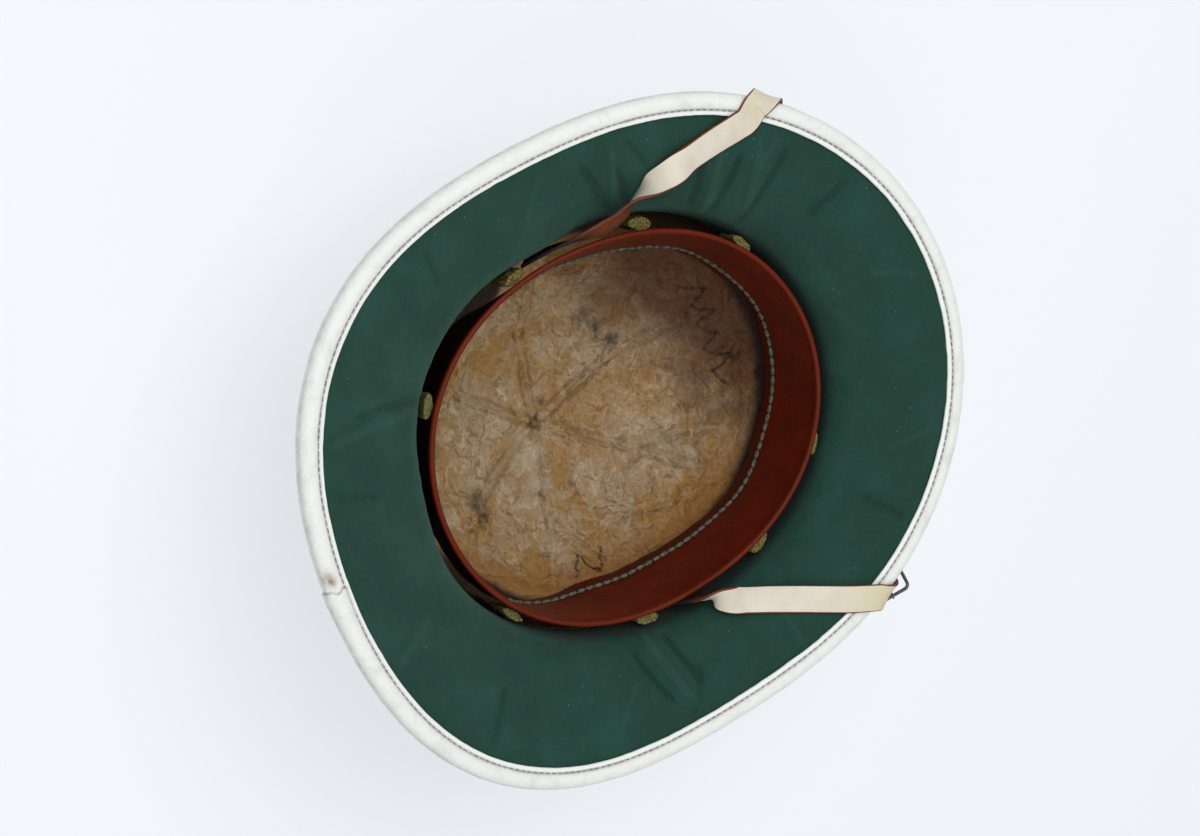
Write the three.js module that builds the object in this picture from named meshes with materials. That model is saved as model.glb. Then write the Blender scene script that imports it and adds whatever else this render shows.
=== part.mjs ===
// A tropical pith helmet lying on its crown with the head opening up, in millimetres.
// Front is -Y, the wearer's right is +X, and +Z is up out of the opening.
// Every section is drawn in its own plane (r, z): r is measured out from the middle of the
// head opening, z from the plane of the sweatband's rim. Angles run from the front to the right.
import * as THREE from 'three';

// ---------------------------------------------------------------- driving dimensions
const SIDES = 44;                 // sections around the helmet
const RIM_HEIGHT = 117;           // sweatband rim above the surface that the button rests on
const CENTRE_SHIFT = 1.8;         // puts the origin under the middle of the whole brim
const GAP = 0.3;                  // clearance that touching pieces keep

// Plan outlines, as a mean radius and its cosine terms:
// shift moves the outline forward, oval lengthens it, egg narrows one end, square fills its corners.
const OUTLINES = {
  band: { mean: 91.3, shift: 1.3, oval: 7.3, egg: 0.7, square: -0.3, point: 0 },
  opening: { mean: 97.3, shift: 1.1, oval: 6.3, egg: 0.3, square: -0.2, point: 0 },
  brim: { mean: 144.3, shift: -1.2, oval: 12.6, egg: 1.9, square: -2.4, point: 1.1 },
};
// Heights that vary round the helmet, with the same terms.
const BRIM_RISE = { mean: 22.0, shift: -5.3, oval: 4.0, egg: -0.7, square: 0, point: 0 };
const CORNER_RISE = { mean: 2.5, shift: -0.7, oval: 1.5, egg: -0.3, square: 0, point: 0 };

const CROWN_DEPTH = 98;           // rim plane to the inside of the crown
const WALL_TOP = -14;             // where the upright wall starts to roll out into the brim
const ROLL_OUT = 12;              // how far out the roll reaches
const DOME_FULLNESS = 2.3;        // 2 is an ellipse, more is a squarer dome
const BRIM_CROWNING = 1.5;        // rise of the brim's face above a straight line

const CLOTH = 1.0;                // green brim lining
const PAPER = 1.0;                // brown crown lining
const PITH_AT_CROWN = 8;
const PITH_AT_EDGE = 5;
const OUTER_ROLL_DOWN = 12;       // the wider curve between crown and brim outside
const OUTER_ROLL_OUT = 22;
const LINING_TURN_IN = -22;       // lower edge of the green lining inside the opening
const PAPER_EDGE = -25;           // upper edge of the crown lining

const BINDING = { leather: 1.1, flat: 4.75, outerLip: 7, underGap: 0.4 };
const BAND = { leather: 1.6, bead: 2.6, depth: 45 };
// Inward lean of the sweatband's free edge, by side of the head.
const BAND_LEAN = { mean: 8, front: -3, right: 4, frontBack: -3 };
// Local dips, by degrees round the helmet: where the opening comes close to the band,
// and where the band's free edge hangs straighter.
const TUCK = { at: 170, width: 17, depth: 3.5 };
const SLOT_TUCK = { at: 95, width: 14, depth: 3.2 };
const UPRIGHT = { at: -145, width: 24, depth: 6 };
const UPRIGHT_RIGHT = { at: 124, width: 18, depth: 5 };
const CORK = { width: 11.5, top: -4, height: 14, sides: 12, angles: [31, 63, 105.5, 148] };

const STRAP = { width: 12.5, leather: 1.4, steps: 96 };
// Where the strap folds over the brim, in degrees, and how steeply it crosses the edge:
// degrees of its turn about the edge to each degree along it.
const EXIT = { right: 48.6, left: -58.6 };
const SLANT = { right: 32, left: 40 };
// The strap's way round the front of the crown: degrees to the sides, and heights.
const FRONT = { middle: -4.5, spread: 26.5, height: -31, rise: 4 };
const LAYER = STRAP.leather + 1.1;            // from one leather layer to the next
const TIP = { start: 5, length: 8 };          // in steps of the strap, from the buckle
const BUCKLE_STATION = -16;       // counted from the strap's left end, just past the fold
const BUCKLE = { width: 20, length: 13, bar: 2, depth: 1.6 };
const KEEPER = { leather: 1.2, room: 0.5, width: 6, step: 8 };
const BUTTON = { radius: 17, foot: 14 };

// ---------------------------------------------------------------- small helpers
const degrees = THREE.MathUtils.degToRad;
const point = (r, z) => new THREE.Vector2(r, z);

function around(terms, angle) {
  return terms.mean + terms.shift * Math.cos(angle) + terms.oval * Math.cos(2 * angle)
    + terms.egg * Math.cos(3 * angle) + terms.square * Math.cos(4 * angle)
    + terms.point * Math.cos(5 * angle);
}

function dip(terms, angle) {
  const off = THREE.MathUtils.euclideanModulo(angle * 180 / Math.PI - terms.at + 180, 360) - 180;
  return terms.depth * Math.exp(-((off / terms.width) ** 2));
}

const openingRadius = (angle) => (
  around(OUTLINES.opening, angle) - dip(TUCK, angle) - dip(SLOT_TUCK, angle));

function place(angle, r, z) {
  return new THREE.Vector3(r * Math.sin(angle), CENTRE_SHIFT - r * Math.cos(angle), RIM_HEIGHT + z);
}

// Moves an open line of points sideways, to the right of its direction for a positive distance.
function offset(line, distance) {
  return line.map((here, i) => {
    const before = line[Math.max(i - 1, 0)];
    const after = line[Math.min(i + 1, line.length - 1)];
    const along = after.clone().sub(before).normalize();
    return point(here.x + along.y * distance, here.y - along.x * distance);
  });
}

// A lathe whose profile changes with the angle. The profile ends on the axis or closes on itself.
function ringBody(profileAt) {
  const geometry = new THREE.LatheGeometry(profileAt(0), SIDES);
  const position = geometry.attributes.position;
  const count = position.count / (SIDES + 1);
  for (let side = 0; side <= SIDES; side += 1) {
    const angle = (side % SIDES) / SIDES * 2 * Math.PI;
    profileAt(angle).forEach((p, i) => {
      const at = place(angle, p.x, p.y);
      position.setXYZ(side * count + i, at.x, at.y, at.z);
    });
  }
  return geometry;
}

const closed = (line) => [...line, line[0].clone()];

// ---------------------------------------------------------------- sections of the shell
// One skin from the middle of the crown, up the wall, over the roll and out along the brim.
function skin({ wall, apex, wallTop, corner, rollOut, edge, crowning, domeSteps, brimSteps }) {
  const dome = [];
  for (let step = 0; step < domeSteps; step += 1) {
    const turn = step / domeSteps * Math.PI / 2;
    const r = wall * Math.sin(turn) ** (2 / DOME_FULLNESS);
    const rise = Math.cos(turn) ** (2 / DOME_FULLNESS);
    dome.push(point(r, wallTop - (wallTop - apex) * rise));
  }
  const slope = (edge.y - corner) / (edge.x - wall);
  const rollEnd = point(wall + rollOut, corner + slope * rollOut);
  const roll = new THREE.QuadraticBezierCurve(point(wall, wallTop), point(wall, corner), rollEnd);
  const middle = rollEnd.clone().add(edge).multiplyScalar(0.5);
  middle.y += 2 * crowning;
  const brim = new THREE.QuadraticBezierCurve(rollEnd, middle, edge);
  return [...dome, ...roll.getPoints(4), ...brim.getPoints(brimSteps).slice(1)];
}

// The face that shows: crown lining and brim lining lie with their tops on it.
function face(angle) {
  return skin({
    wall: openingRadius(angle),
    apex: -CROWN_DEPTH,
    wallTop: WALL_TOP,
    corner: around(CORNER_RISE, angle),
    rollOut: ROLL_OUT,
    edge: point(around(OUTLINES.brim, angle), around(BRIM_RISE, angle)),
    crowning: BRIM_CROWNING,
    domeSteps: 8,
    brimSteps: 3,
  });
}

// Axes of the brim's edge in its section: out along the brim, and up off its lined side.
function edgeAxes(angle) {
  const line = face(angle);
  const origin = line.at(-1);
  const out = origin.clone().sub(line.at(-2)).normalize();
  const up = point(-out.y, out.x);
  const at = (u, v) => origin.clone().addScaledVector(out, u).addScaledVector(up, v);
  return { origin, out, up, at };
}

// Points of an arc in the edge's own axes, from its upper side round the outside to its lower side.
function edgeArc(axes, u, v, radius, steps) {
  return Array.from({ length: steps + 1 }, (_, i) => {
    const turn = Math.PI / 2 - i / steps * Math.PI;
    return axes.at(u + radius * Math.cos(turn), v + radius * Math.sin(turn));
  });
}

const PITH_INSIDE = CLOTH + GAP;
const PITH_LOW = -(PITH_INSIDE + PITH_AT_EDGE);
const BINDING_TOP = GAP + BINDING.leather;
const BINDING_LOW = PITH_LOW - BINDING.underGap - BINDING.leather;
const BINDING_RADIUS = (BINDING_TOP - BINDING_LOW) / 2;
const BINDING_MIDDLE = (BINDING_TOP + BINDING_LOW) / 2;
const PARALLEL_RUN = BINDING.outerLip + 3;   // stretch of brim that is even in thickness

function outerSkin(angle) {
  const wall = openingRadius(angle) + PITH_INSIDE + PITH_AT_CROWN;
  const edge = edgeAxes(angle).at(-PARALLEL_RUN, PITH_LOW);
  return skin({
    wall,
    apex: -(CROWN_DEPTH + PITH_INSIDE + PITH_AT_CROWN),
    wallTop: WALL_TOP - OUTER_ROLL_DOWN,
    corner: around(CORNER_RISE, angle) - PITH_INSIDE - PITH_AT_CROWN,
    rollOut: OUTER_ROLL_OUT,
    edge,
    crowning: 0,
    domeSteps: 9,
    brimSteps: 2,
  });
}

function shellSection(angle) {
  const axes = edgeAxes(angle);
  const inner = offset(face(angle), PITH_INSIDE);
  inner[0] = point(0, -CROWN_DEPTH - PITH_INSIDE);
  const radius = PITH_AT_EDGE / 2;
  const rounded = edgeArc(axes, 4, PITH_LOW + radius, radius, 3);
  return [...inner, ...rounded, ...outerSkin(angle).reverse()].reverse();
}

// ---------------------------------------------------------------- skins, band and corks
// Splits the face at a height inside the opening, so that both linings end on the wall.
function faceBetween(angle, low, high) {
  const line = face(angle);
  const cut = (z) => {
    const next = line.findIndex((p) => p.y > z);
    const a = line[next - 1];
    const b = line[next];
    return a.clone().lerp(b, (z - a.y) / (b.y - a.y));
  };
  const middle = line.filter((p) => p.y > low + 1 && (high === null || p.y < high - 1));
  const start = low < -CROWN_DEPTH ? [] : [cut(low)];
  const end = high === null ? [] : [cut(high)];
  return [...start, ...middle, ...end];
}

function brimLiningSection(angle) {
  const axes = edgeAxes(angle);
  const top = [...faceBetween(angle, LINING_TURN_IN, null), axes.at(4.3, 0)];
  return closed([...top, ...offset(top, CLOTH).reverse()].reverse());
}

function crownLiningSection(angle) {
  const top = faceBetween(angle, -CROWN_DEPTH - 2, PAPER_EDGE);
  const back = offset(top, PAPER);
  back[0] = point(0, -CROWN_DEPTH - PAPER);
  return [...top, ...back.reverse()].reverse();
}

function bindingSection(angle) {
  const axes = edgeAxes(angle);
  const inside = BINDING_RADIUS - BINDING.leather;
  const outer = edgeArc(axes, BINDING.flat, BINDING_MIDDLE, BINDING_RADIUS, 6);
  const inner = edgeArc(axes, BINDING.flat, BINDING_MIDDLE, inside, 4);
  return closed([
    axes.at(0, GAP),
    axes.at(0, BINDING_TOP),
    ...outer,
    axes.at(-BINDING.outerLip, BINDING_LOW),
    axes.at(-BINDING.outerLip, BINDING_LOW + BINDING.leather),
    ...inner.reverse(),
  ].reverse());
}

function bandLean(angle, depth) {
  const edge = BAND_LEAN.mean + BAND_LEAN.front * Math.cos(angle)
    + BAND_LEAN.right * Math.sin(angle) + BAND_LEAN.frontBack * Math.cos(2 * angle)
    - dip(UPRIGHT, angle) - dip(UPRIGHT_RIGHT, angle);
  return edge * depth / BAND.depth;
}

function bandSection(angle) {
  const rim = around(OUTLINES.band, angle);
  const outer = (depth) => point(rim - bandLean(angle, depth), -depth);
  const inner = (depth) => point(outer(depth).x - BAND.leather, -depth);
  return closed([
    point(rim - BAND.bead * 0.5, 0),
    point(rim - BAND.bead, -1.2),
    inner(4),
    inner(18),
    inner(32),
    inner(BAND.depth),
    outer(BAND.depth),
    outer(24),
    outer(4),
    point(rim, -1.2),
  ]);
}

function cork(angle) {
  const inside = around(OUTLINES.band, angle) - bandLean(angle, 5) + GAP + 0.2;
  const outside = openingRadius(angle) - GAP - 0.9;
  const depth = outside - inside;
  const geometry = new THREE.CylinderGeometry(0.5, 0.5, CORK.height, CORK.sides);
  geometry.rotateX(Math.PI / 2);
  geometry.scale(CORK.width, depth, 1);
  geometry.rotateZ(angle);
  const at = place(angle, (inside + outside) / 2, CORK.top - CORK.height / 2);
  geometry.translate(at.x, at.y, at.z);
  return geometry;
}

function crownButton() {
  const top = -(CROWN_DEPTH + PITH_INSIDE + PITH_AT_CROWN + GAP) + RIM_HEIGHT;
  return new THREE.LatheGeometry([
    point(0, 0),
    point(BUTTON.foot, 0),
    point(BUTTON.radius - 0.8, 1.8),
    point(BUTTON.radius, 4.5),
    point(BUTTON.radius - 1.5, top),
    point(0, top),
  ], 24).rotateX(Math.PI / 2).translate(0, CENTRE_SHIFT, 0);
}

// ---------------------------------------------------------------- chin strap
// Each station of the strap has its middle and the way that its face looks.
// A point of the lined side of the brim, lifted along its normal.
function onBrim(right, forward, lift) {
  const angle = Math.atan2(right, forward);
  const r = Math.hypot(right, forward);
  const line = face(angle);
  const next = line.findIndex((p) => p.x > r);
  const a = line[next - 1];
  const b = line[next];
  const z = a.y + (b.y - a.y) * (r - a.x) / (b.x - a.x);
  const along = b.clone().sub(a).normalize();
  const up = new THREE.Vector3(-along.y * Math.sin(angle), along.y * Math.cos(angle), along.x);
  return { at: place(angle, r, z).addScaledVector(up, lift), up };
}

// A turn about the bound edge, from the lined side (0 degrees) to the outer side (180 degrees).
function overEdge(angle, turn, lift) {
  const axes = edgeAxes(angle);
  const radius = BINDING_RADIUS + lift;
  const u = Math.sin(turn);
  const v = Math.cos(turn);
  const middle = axes.at(BINDING.flat + radius * u, BINDING_MIDDLE + radius * v);
  const tip = middle.clone().addScaledVector(axes.out, u).addScaledVector(axes.up, v);
  const at = place(angle, middle.x, middle.y);
  return { at, up: place(angle, tip.x, tip.y).sub(at) };
}

const outward = (angle) => new THREE.Vector3(Math.sin(angle), -Math.cos(angle), 0);

// A point against the outside of the crown, at a height z.
function onCrown(angle, z, lift) {
  const line = outerSkin(angle);
  const next = line.findIndex((p) => p.y > z);
  const a = line[next - 1];
  const b = line[next];
  const r = a.x + (b.x - a.x) * (z - a.y) / (b.y - a.y);
  return { at: place(angle, r + lift, z), up: outward(angle) };
}

// Between sweatband and wall the strap stands on its edge, and it twists as it comes out.
function free(angle, r, z, lean) {
  const up = outward(angle).multiplyScalar(Math.cos(lean)).setZ(Math.sin(lean));
  return { at: place(angle, r, z), up };
}

const LIFT = STRAP.leather / 2 + GAP + 0.4;
const LIP_LIFT = BINDING_TOP + STRAP.leather / 2 + GAP;

function foldOver(exit, slant, turns) {
  return turns.map((turn) => (
    overEdge(degrees(exit - Math.sign(exit) * turn / slant), degrees(turn), LIFT)));
}

// Stations between two others, where the strap is pulled straight and turns evenly.
function straight(from, to) {
  return [0.15, 0.35, 0.6, 0.8].map((part) => (
    { at: from.at.clone().lerp(to.at, part), up: from.up.clone().lerp(to.up, part).normalize() }));
}

function strapStations() {
  const turns = [15, 40, 65, 90, 115, 140, 165];
  const rightSlot = [
    free(degrees(97), 84.6, -19, 0),
    free(degrees(90), 86.1, -9, degrees(-6)),
    free(degrees(83), 87.8, 0.5, degrees(-22)),
    free(degrees(77), 90.4, 5.5, degrees(-32)),
    free(degrees(73), 94.2, 9, degrees(-22)),
    free(degrees(69.8), 101, 12, degrees(4)),
    free(degrees(66), 107, 16, degrees(38)),
    free(degrees(62), 112, 16.6, degrees(60)),
  ];
  const rightBrim = [
    onBrim(101.9, 66.2, 2.4),
    onBrim(103.8, 77.7, LIFT + 0.5),
    onBrim(105.5, 88.5, LIP_LIFT + 0.2),
    onBrim(106.4, 93.5, LIP_LIFT + 0.3),
  ];
  const rightFold = foldOver(EXIT.right, SLANT.right, turns);
  const leftFold = foldOver(EXIT.left, SLANT.left, turns.toReversed());
  const front = [1, 0.67, 0.33, 0, -0.33, -0.67, -1].map((aside) => {
    const angle = degrees(FRONT.middle + aside * FRONT.spread);
    return onCrown(angle, FRONT.height + FRONT.rise * aside ** 2, LIFT + 1.2);
  });
  const leftBrim = [
    onBrim(-117.1, 63.4, LIP_LIFT + 0.2),
    onBrim(-112.9, 54.5, LIFT),
    onBrim(-107.1, 42.2, LIFT),
    onBrim(-101.8, 30.1, LIFT + 0.3),
    onBrim(-97.8, 20, 2.6),
  ];
  const leftSlot = [
    free(degrees(-83.5), 91.2, 8.2, degrees(64)),
    free(degrees(-87), 87.2, 5.6, degrees(40)),
    free(degrees(-90), 86.4, -2, degrees(26)),
    free(degrees(-93), 86.4, -10, degrees(12)),
    free(degrees(-97), 86, -19, degrees(2)),
  ];
  return [
    ...rightSlot,
    ...rightBrim,
    ...rightFold,
    ...straight(rightFold.at(-1), front[0]),
    ...front,
    ...straight(front.at(-1), leftFold[0]),
    ...leftFold,
    ...leftBrim,
    ...leftSlot,
  ];
}

// Smooths the stations into even steps.
function smoothStrap(stations, steps) {
  const route = new THREE.CatmullRomCurve3(stations.map((s) => s.at), false, 'centripetal');
  const faces = new THREE.CatmullRomCurve3(stations.map((s) => s.up), false, 'centripetal');
  return Array.from({ length: steps + 1 }, (_, i) => {
    const along = i / steps;
    return { at: route.getPoint(along), up: faces.getPoint(along).normalize() };
  });
}

// The three axes of a strap at one of its stations: across it, along it and off its face.
function strapAxes(stations, index) {
  const before = stations[Math.max(index - 1, 0)].at;
  const after = stations[Math.min(index + 1, stations.length - 1)].at;
  const along = after.clone().sub(before).normalize();
  const side = stations[index].up.clone().cross(along).normalize();
  return { side, along, up: along.clone().cross(side) };
}

function ribbon(stations, width, thickness) {
  const steps = stations.length - 1;
  const geometry = new THREE.BoxGeometry(width, thickness, steps, 1, 1, steps);
  const position = geometry.attributes.position;
  for (let i = 0; i < position.count; i += 1) {
    const index = Math.round(position.getZ(i) + steps / 2);
    const axes = strapAxes(stations, index);
    const at = stations[index].at.clone().addScaledVector(axes.side, position.getX(i));
    at.addScaledVector(axes.up, position.getY(i));
    position.setXYZ(i, at.x, at.y, at.z);
  }
  return geometry;
}

const lifted = (stations, lift) => stations.map((_, i) => {
  const { up } = strapAxes(stations, i);
  return { at: stations[i].at.clone().addScaledVector(up, lift), up };
});

// Sets a flat piece on the strap: its x goes along the strap, its y across it and its z off it.
function onStrap(geometry, stations, index, lift) {
  const { side, along, up } = strapAxes(stations, index);
  const at = stations[index].at.clone().addScaledVector(up, lift);
  return geometry.applyMatrix4(new THREE.Matrix4().makeBasis(along, side, up).setPosition(at));
}

function rectangle(shape, width, height, corner) {
  const x = width / 2;
  const y = height / 2;
  shape.moveTo(-x + corner, -y);
  shape.lineTo(x - corner, -y).quadraticCurveTo(x, -y, x, -y + corner);
  shape.lineTo(x, y - corner).quadraticCurveTo(x, y, x - corner, y);
  shape.lineTo(-x + corner, y).quadraticCurveTo(-x, y, -x, y - corner);
  shape.lineTo(-x, -y + corner).quadraticCurveTo(-x, -y, -x + corner, -y);
  return shape;
}

// A flat frame, or a loop seen from its end.
function frame(width, height, wall, corner, depth) {
  const shape = rectangle(new THREE.Shape(), width, height, corner);
  const inner = Math.max(corner - wall, 0.3);
  shape.holes.push(rectangle(new THREE.Path(), width - 2 * wall, height - 2 * wall, inner));
  const geometry = new THREE.ExtrudeGeometry(shape, { depth, bevelEnabled: false, curveSegments: 3 });
  return geometry.translate(0, 0, -depth / 2);
}

function buckleTongue() {
  return new THREE.CapsuleGeometry(0.7, BUCKLE.length - BUCKLE.bar, 2, 8).rotateZ(Math.PI / 2);
}

function keeperLoop() {
  const inside = KEEPER.leather + KEEPER.room;
  const height = LAYER + STRAP.leather + 2 * inside;
  const loop = frame(height, STRAP.width + 2 * inside, KEEPER.leather, 1.6, KEEPER.width);
  return loop.rotateY(Math.PI / 2);
}

// ---------------------------------------------------------------- materials
const finish = (color, roughness, metalness = 0) => (
  new THREE.MeshStandardMaterial({ color, roughness, metalness }));
const MATERIALS = {
  whiteCloth: finish(0xe6e4dc, 0.85),
  greenCloth: finish(0x24463c, 0.9),
  paper: finish(0x86663f, 0.55),
  whiteLeather: finish(0xdedfda, 0.55),
  brownLeather: finish(0x6b2413, 0.42),
  cork: finish(0x7d7440, 0.95),
  strap: finish(0xd9cfbd, 0.6),
  metal: finish(0x3a3f44, 0.45, 0.9),
};

// ---------------------------------------------------------------- assembly
const helmet = new THREE.Group();
helmet.name = 'pith_helmet';

function add(name, geometry, material) {
  const mesh = new THREE.Mesh(geometry, material);
  mesh.name = name;
  helmet.add(mesh);
}

add('shell', ringBody(shellSection), MATERIALS.whiteCloth);
add('crown_lining', ringBody(crownLiningSection), MATERIALS.paper);
add('brim_lining', ringBody(brimLiningSection), MATERIALS.greenCloth);
add('edge_binding', ringBody(bindingSection), MATERIALS.whiteLeather);
add('sweatband', ringBody(bandSection), MATERIALS.brownLeather);
add('crown_button', crownButton(), MATERIALS.whiteCloth);
CORK.angles.flatMap((angle) => [angle, -angle]).forEach((angle, i) => {
  add(`cork_spacer_${i + 1}`, cork(degrees(angle)), MATERIALS.cork);
});

const stations = strapStations();
const strap = smoothStrap(stations, STRAP.steps);
const buckleSpot = stations.at(BUCKLE_STATION).at;
const distances = strap.map((station) => station.at.distanceTo(buckleSpot));
const buckleStep = distances.indexOf(Math.min(...distances));
const tipEnd = buckleStep - TIP.start;
const tip = lifted(strap.slice(tipEnd - TIP.length, tipEnd + 1), LAYER);
const buckleLift = STRAP.leather / 2 + BUCKLE.depth / 2 + 0.9;
const tongueLift = buckleLift + BUCKLE.depth / 2 + 1.1;
add('chin_strap', ribbon(strap, STRAP.width, STRAP.leather), MATERIALS.strap);
add('strap_tip', ribbon(tip, STRAP.width - 0.6, STRAP.leather), MATERIALS.strap);
add('strap_keeper', onStrap(keeperLoop(), strap, buckleStep - KEEPER.step, LAYER / 2), MATERIALS.brownLeather);
const buckleFrame = frame(BUCKLE.length, BUCKLE.width, BUCKLE.bar, 2.5, BUCKLE.depth);
add('buckle_frame', onStrap(buckleFrame, strap, buckleStep, buckleLift), MATERIALS.metal);
add('buckle_tongue', onStrap(buckleTongue(), strap, buckleStep, tongueLift), MATERIALS.metal);

export default helmet;
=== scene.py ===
"""A white tropical pith helmet lying upside down on its crown.

Sections are drawn in millimetres in their own plane (r, z), as the frame's part is: r is measured
out from the middle of the head opening and z from the plane of the sweatband's rim, opening up.
Angles run from the front (-Y) to the wearer's right (+X). place() turns them into metres.
"""
import math

import bpy
import numpy as np
from mathutils import Matrix, Vector, noise


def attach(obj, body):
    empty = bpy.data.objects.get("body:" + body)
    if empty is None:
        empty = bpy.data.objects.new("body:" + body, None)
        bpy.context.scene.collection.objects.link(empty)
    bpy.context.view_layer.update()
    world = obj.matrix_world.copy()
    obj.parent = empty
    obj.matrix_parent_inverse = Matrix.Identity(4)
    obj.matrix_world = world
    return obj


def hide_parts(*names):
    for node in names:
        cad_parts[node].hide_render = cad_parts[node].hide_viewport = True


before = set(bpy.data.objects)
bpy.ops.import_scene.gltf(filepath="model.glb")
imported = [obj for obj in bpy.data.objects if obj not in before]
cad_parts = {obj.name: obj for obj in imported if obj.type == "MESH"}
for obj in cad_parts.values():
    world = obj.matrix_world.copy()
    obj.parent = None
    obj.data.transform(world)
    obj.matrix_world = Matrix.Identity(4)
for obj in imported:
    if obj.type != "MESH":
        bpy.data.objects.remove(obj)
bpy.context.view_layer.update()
MM = 0.001

# ------------------------------------------------------------------ the frame's dimensions, in mm
RIM_HEIGHT = 117.0
CENTRE_SHIFT = 1.8
GAP = 0.3
OUTLINES = {
    "band": dict(mean=91.3, shift=1.3, oval=7.3, egg=0.7, square=-0.3, point=0.0),
    "opening": dict(mean=97.3, shift=1.1, oval=6.3, egg=0.3, square=-0.2, point=0.0),
    "brim": dict(mean=144.3, shift=-1.2, oval=12.6, egg=1.9, square=-2.4, point=1.1),
}
BRIM_RISE = dict(mean=22.0, shift=-5.3, oval=4.0, egg=-0.7, square=0.0, point=0.0)
CORNER_RISE = dict(mean=2.5, shift=-0.7, oval=1.5, egg=-0.3, square=0.0, point=0.0)
CROWN_DEPTH = 98.0
WALL_TOP = -14.0
ROLL_OUT = 12.0
DOME_FULLNESS = 2.3
BRIM_CROWNING = 1.5
CLOTH = 1.0
PAPER = 1.0
PITH_AT_CROWN = 8.0
PITH_AT_EDGE = 5.0
OUTER_ROLL_DOWN = 12.0
OUTER_ROLL_OUT = 22.0
LINING_TURN_IN = -22.0
PAPER_EDGE = -25.0
PITH_INSIDE = CLOTH + GAP
PITH_LOW = -(PITH_INSIDE + PITH_AT_EDGE)
BINDING = dict(leather=1.1, flat=4.75, outer_lip=7.0, under_gap=0.4)
BINDING_TOP = GAP + BINDING["leather"]
BINDING_LOW = PITH_LOW - BINDING["under_gap"] - BINDING["leather"]
BINDING_RADIUS = (BINDING_TOP - BINDING_LOW) / 2
BINDING_MIDDLE = (BINDING_TOP + BINDING_LOW) / 2
PARALLEL_RUN = BINDING["outer_lip"] + 3
BAND = dict(leather=1.6, bead=2.6, depth=45.0)
BAND_LEAN = dict(mean=8.0, front=-3.0, right=4.0, front_back=-3.0)
TUCK = dict(at=170.0, width=17.0, depth=3.5)        # where the opening comes close to the band
SLOT_TUCK = dict(at=95.0, width=14.0, depth=3.2)
UPRIGHT = dict(at=-145.0, width=24.0, depth=6.0)    # where the band's free edge hangs straighter
UPRIGHT_RIGHT = dict(at=124.0, width=18.0, depth=5.0)
CORK = dict(width=11.5, top=-4.0, height=14.0, angles=(31.0, 63.0, 105.5, 148.0))
STRAP = dict(width=12.5, leather=1.4)
EXIT = dict(right=48.6, left=-58.6)
SLANT = dict(right=32.0, left=40.0)
FRONT = dict(middle=-4.5, spread=26.5, height=-31.0, rise=4.0)
LAYER = STRAP["leather"] + 1.1
BUCKLE = dict(width=20.0, length=13.0, wire=1.9)
LIFT = STRAP["leather"] / 2 + GAP + 0.4
LIP_LIFT = BINDING_TOP + STRAP["leather"] / 2 + GAP
GORES = 6


# ------------------------------------------------------------------ sections
def around(terms, angle):
    """A radius or height that varies round the helmet by its cosine terms."""
    return (terms["mean"] + terms["shift"] * np.cos(angle) + terms["oval"] * np.cos(2 * angle)
            + terms["egg"] * np.cos(3 * angle) + terms["square"] * np.cos(4 * angle)
            + terms["point"] * np.cos(5 * angle))


def dip(terms, angle):
    """A smooth local dip, by degrees round the helmet."""
    off = (np.degrees(angle) - terms["at"] + 180) % 360 - 180
    return terms["depth"] * np.exp(-(off / terms["width"]) ** 2)


def opening_radius(angle):
    return around(OUTLINES["opening"], angle) - dip(TUCK, angle) - dip(SLOT_TUCK, angle)


def place(angle, r, z):
    """Points in the row frame, in metres."""
    angle, r, z = np.broadcast_arrays(angle, r, z)
    x = r * np.sin(angle)
    y = CENTRE_SHIFT - r * np.cos(angle)
    return np.stack([x, y, RIM_HEIGHT + z], axis=-1) * MM


def quadratic(a, b, c, t):
    return (1 - t) ** 2 * a + 2 * t * (1 - t) * b + t * t * c


def skin(wall, apex, wall_top, corner, roll_out, edge_r, edge_z, crowning, steps=60):
    """One skin from the middle of the crown, up the wall, over the roll and along the brim."""
    t = np.linspace(0, 1, steps)[None, :]
    turn = t * math.pi / 2
    power = 2 / DOME_FULLNESS
    dome_r = wall * np.sin(turn) ** power
    dome_z = wall_top - (wall_top - apex) * np.clip(np.cos(turn), 0, 1) ** power + 0 * wall
    slope = (edge_z - corner) / (edge_r - wall)
    end_r = wall + roll_out
    end_z = corner + slope * roll_out
    roll_r = quadratic(wall, wall, end_r, t)
    roll_z = quadratic(wall_top, corner, end_z, t)
    brim_r = quadratic(end_r, (end_r + edge_r) / 2, edge_r, t)
    brim_z = quadratic(end_z, (end_z + edge_z) / 2 + 2 * crowning, edge_z, t)
    return (np.concatenate([dome_r[:, :-1], roll_r[:, :-1], brim_r], axis=1),
            np.concatenate([dome_z[:, :-1], roll_z[:, :-1], brim_z], axis=1))


def face(angle):
    """The side that shows inside: the tops of the crown lining and of the brim lining."""
    a = np.atleast_1d(angle)[:, None]
    return skin(opening_radius(a), -CROWN_DEPTH, WALL_TOP, around(CORNER_RISE, a),
                ROLL_OUT, around(OUTLINES["brim"], a), around(BRIM_RISE, a), BRIM_CROWNING)


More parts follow.
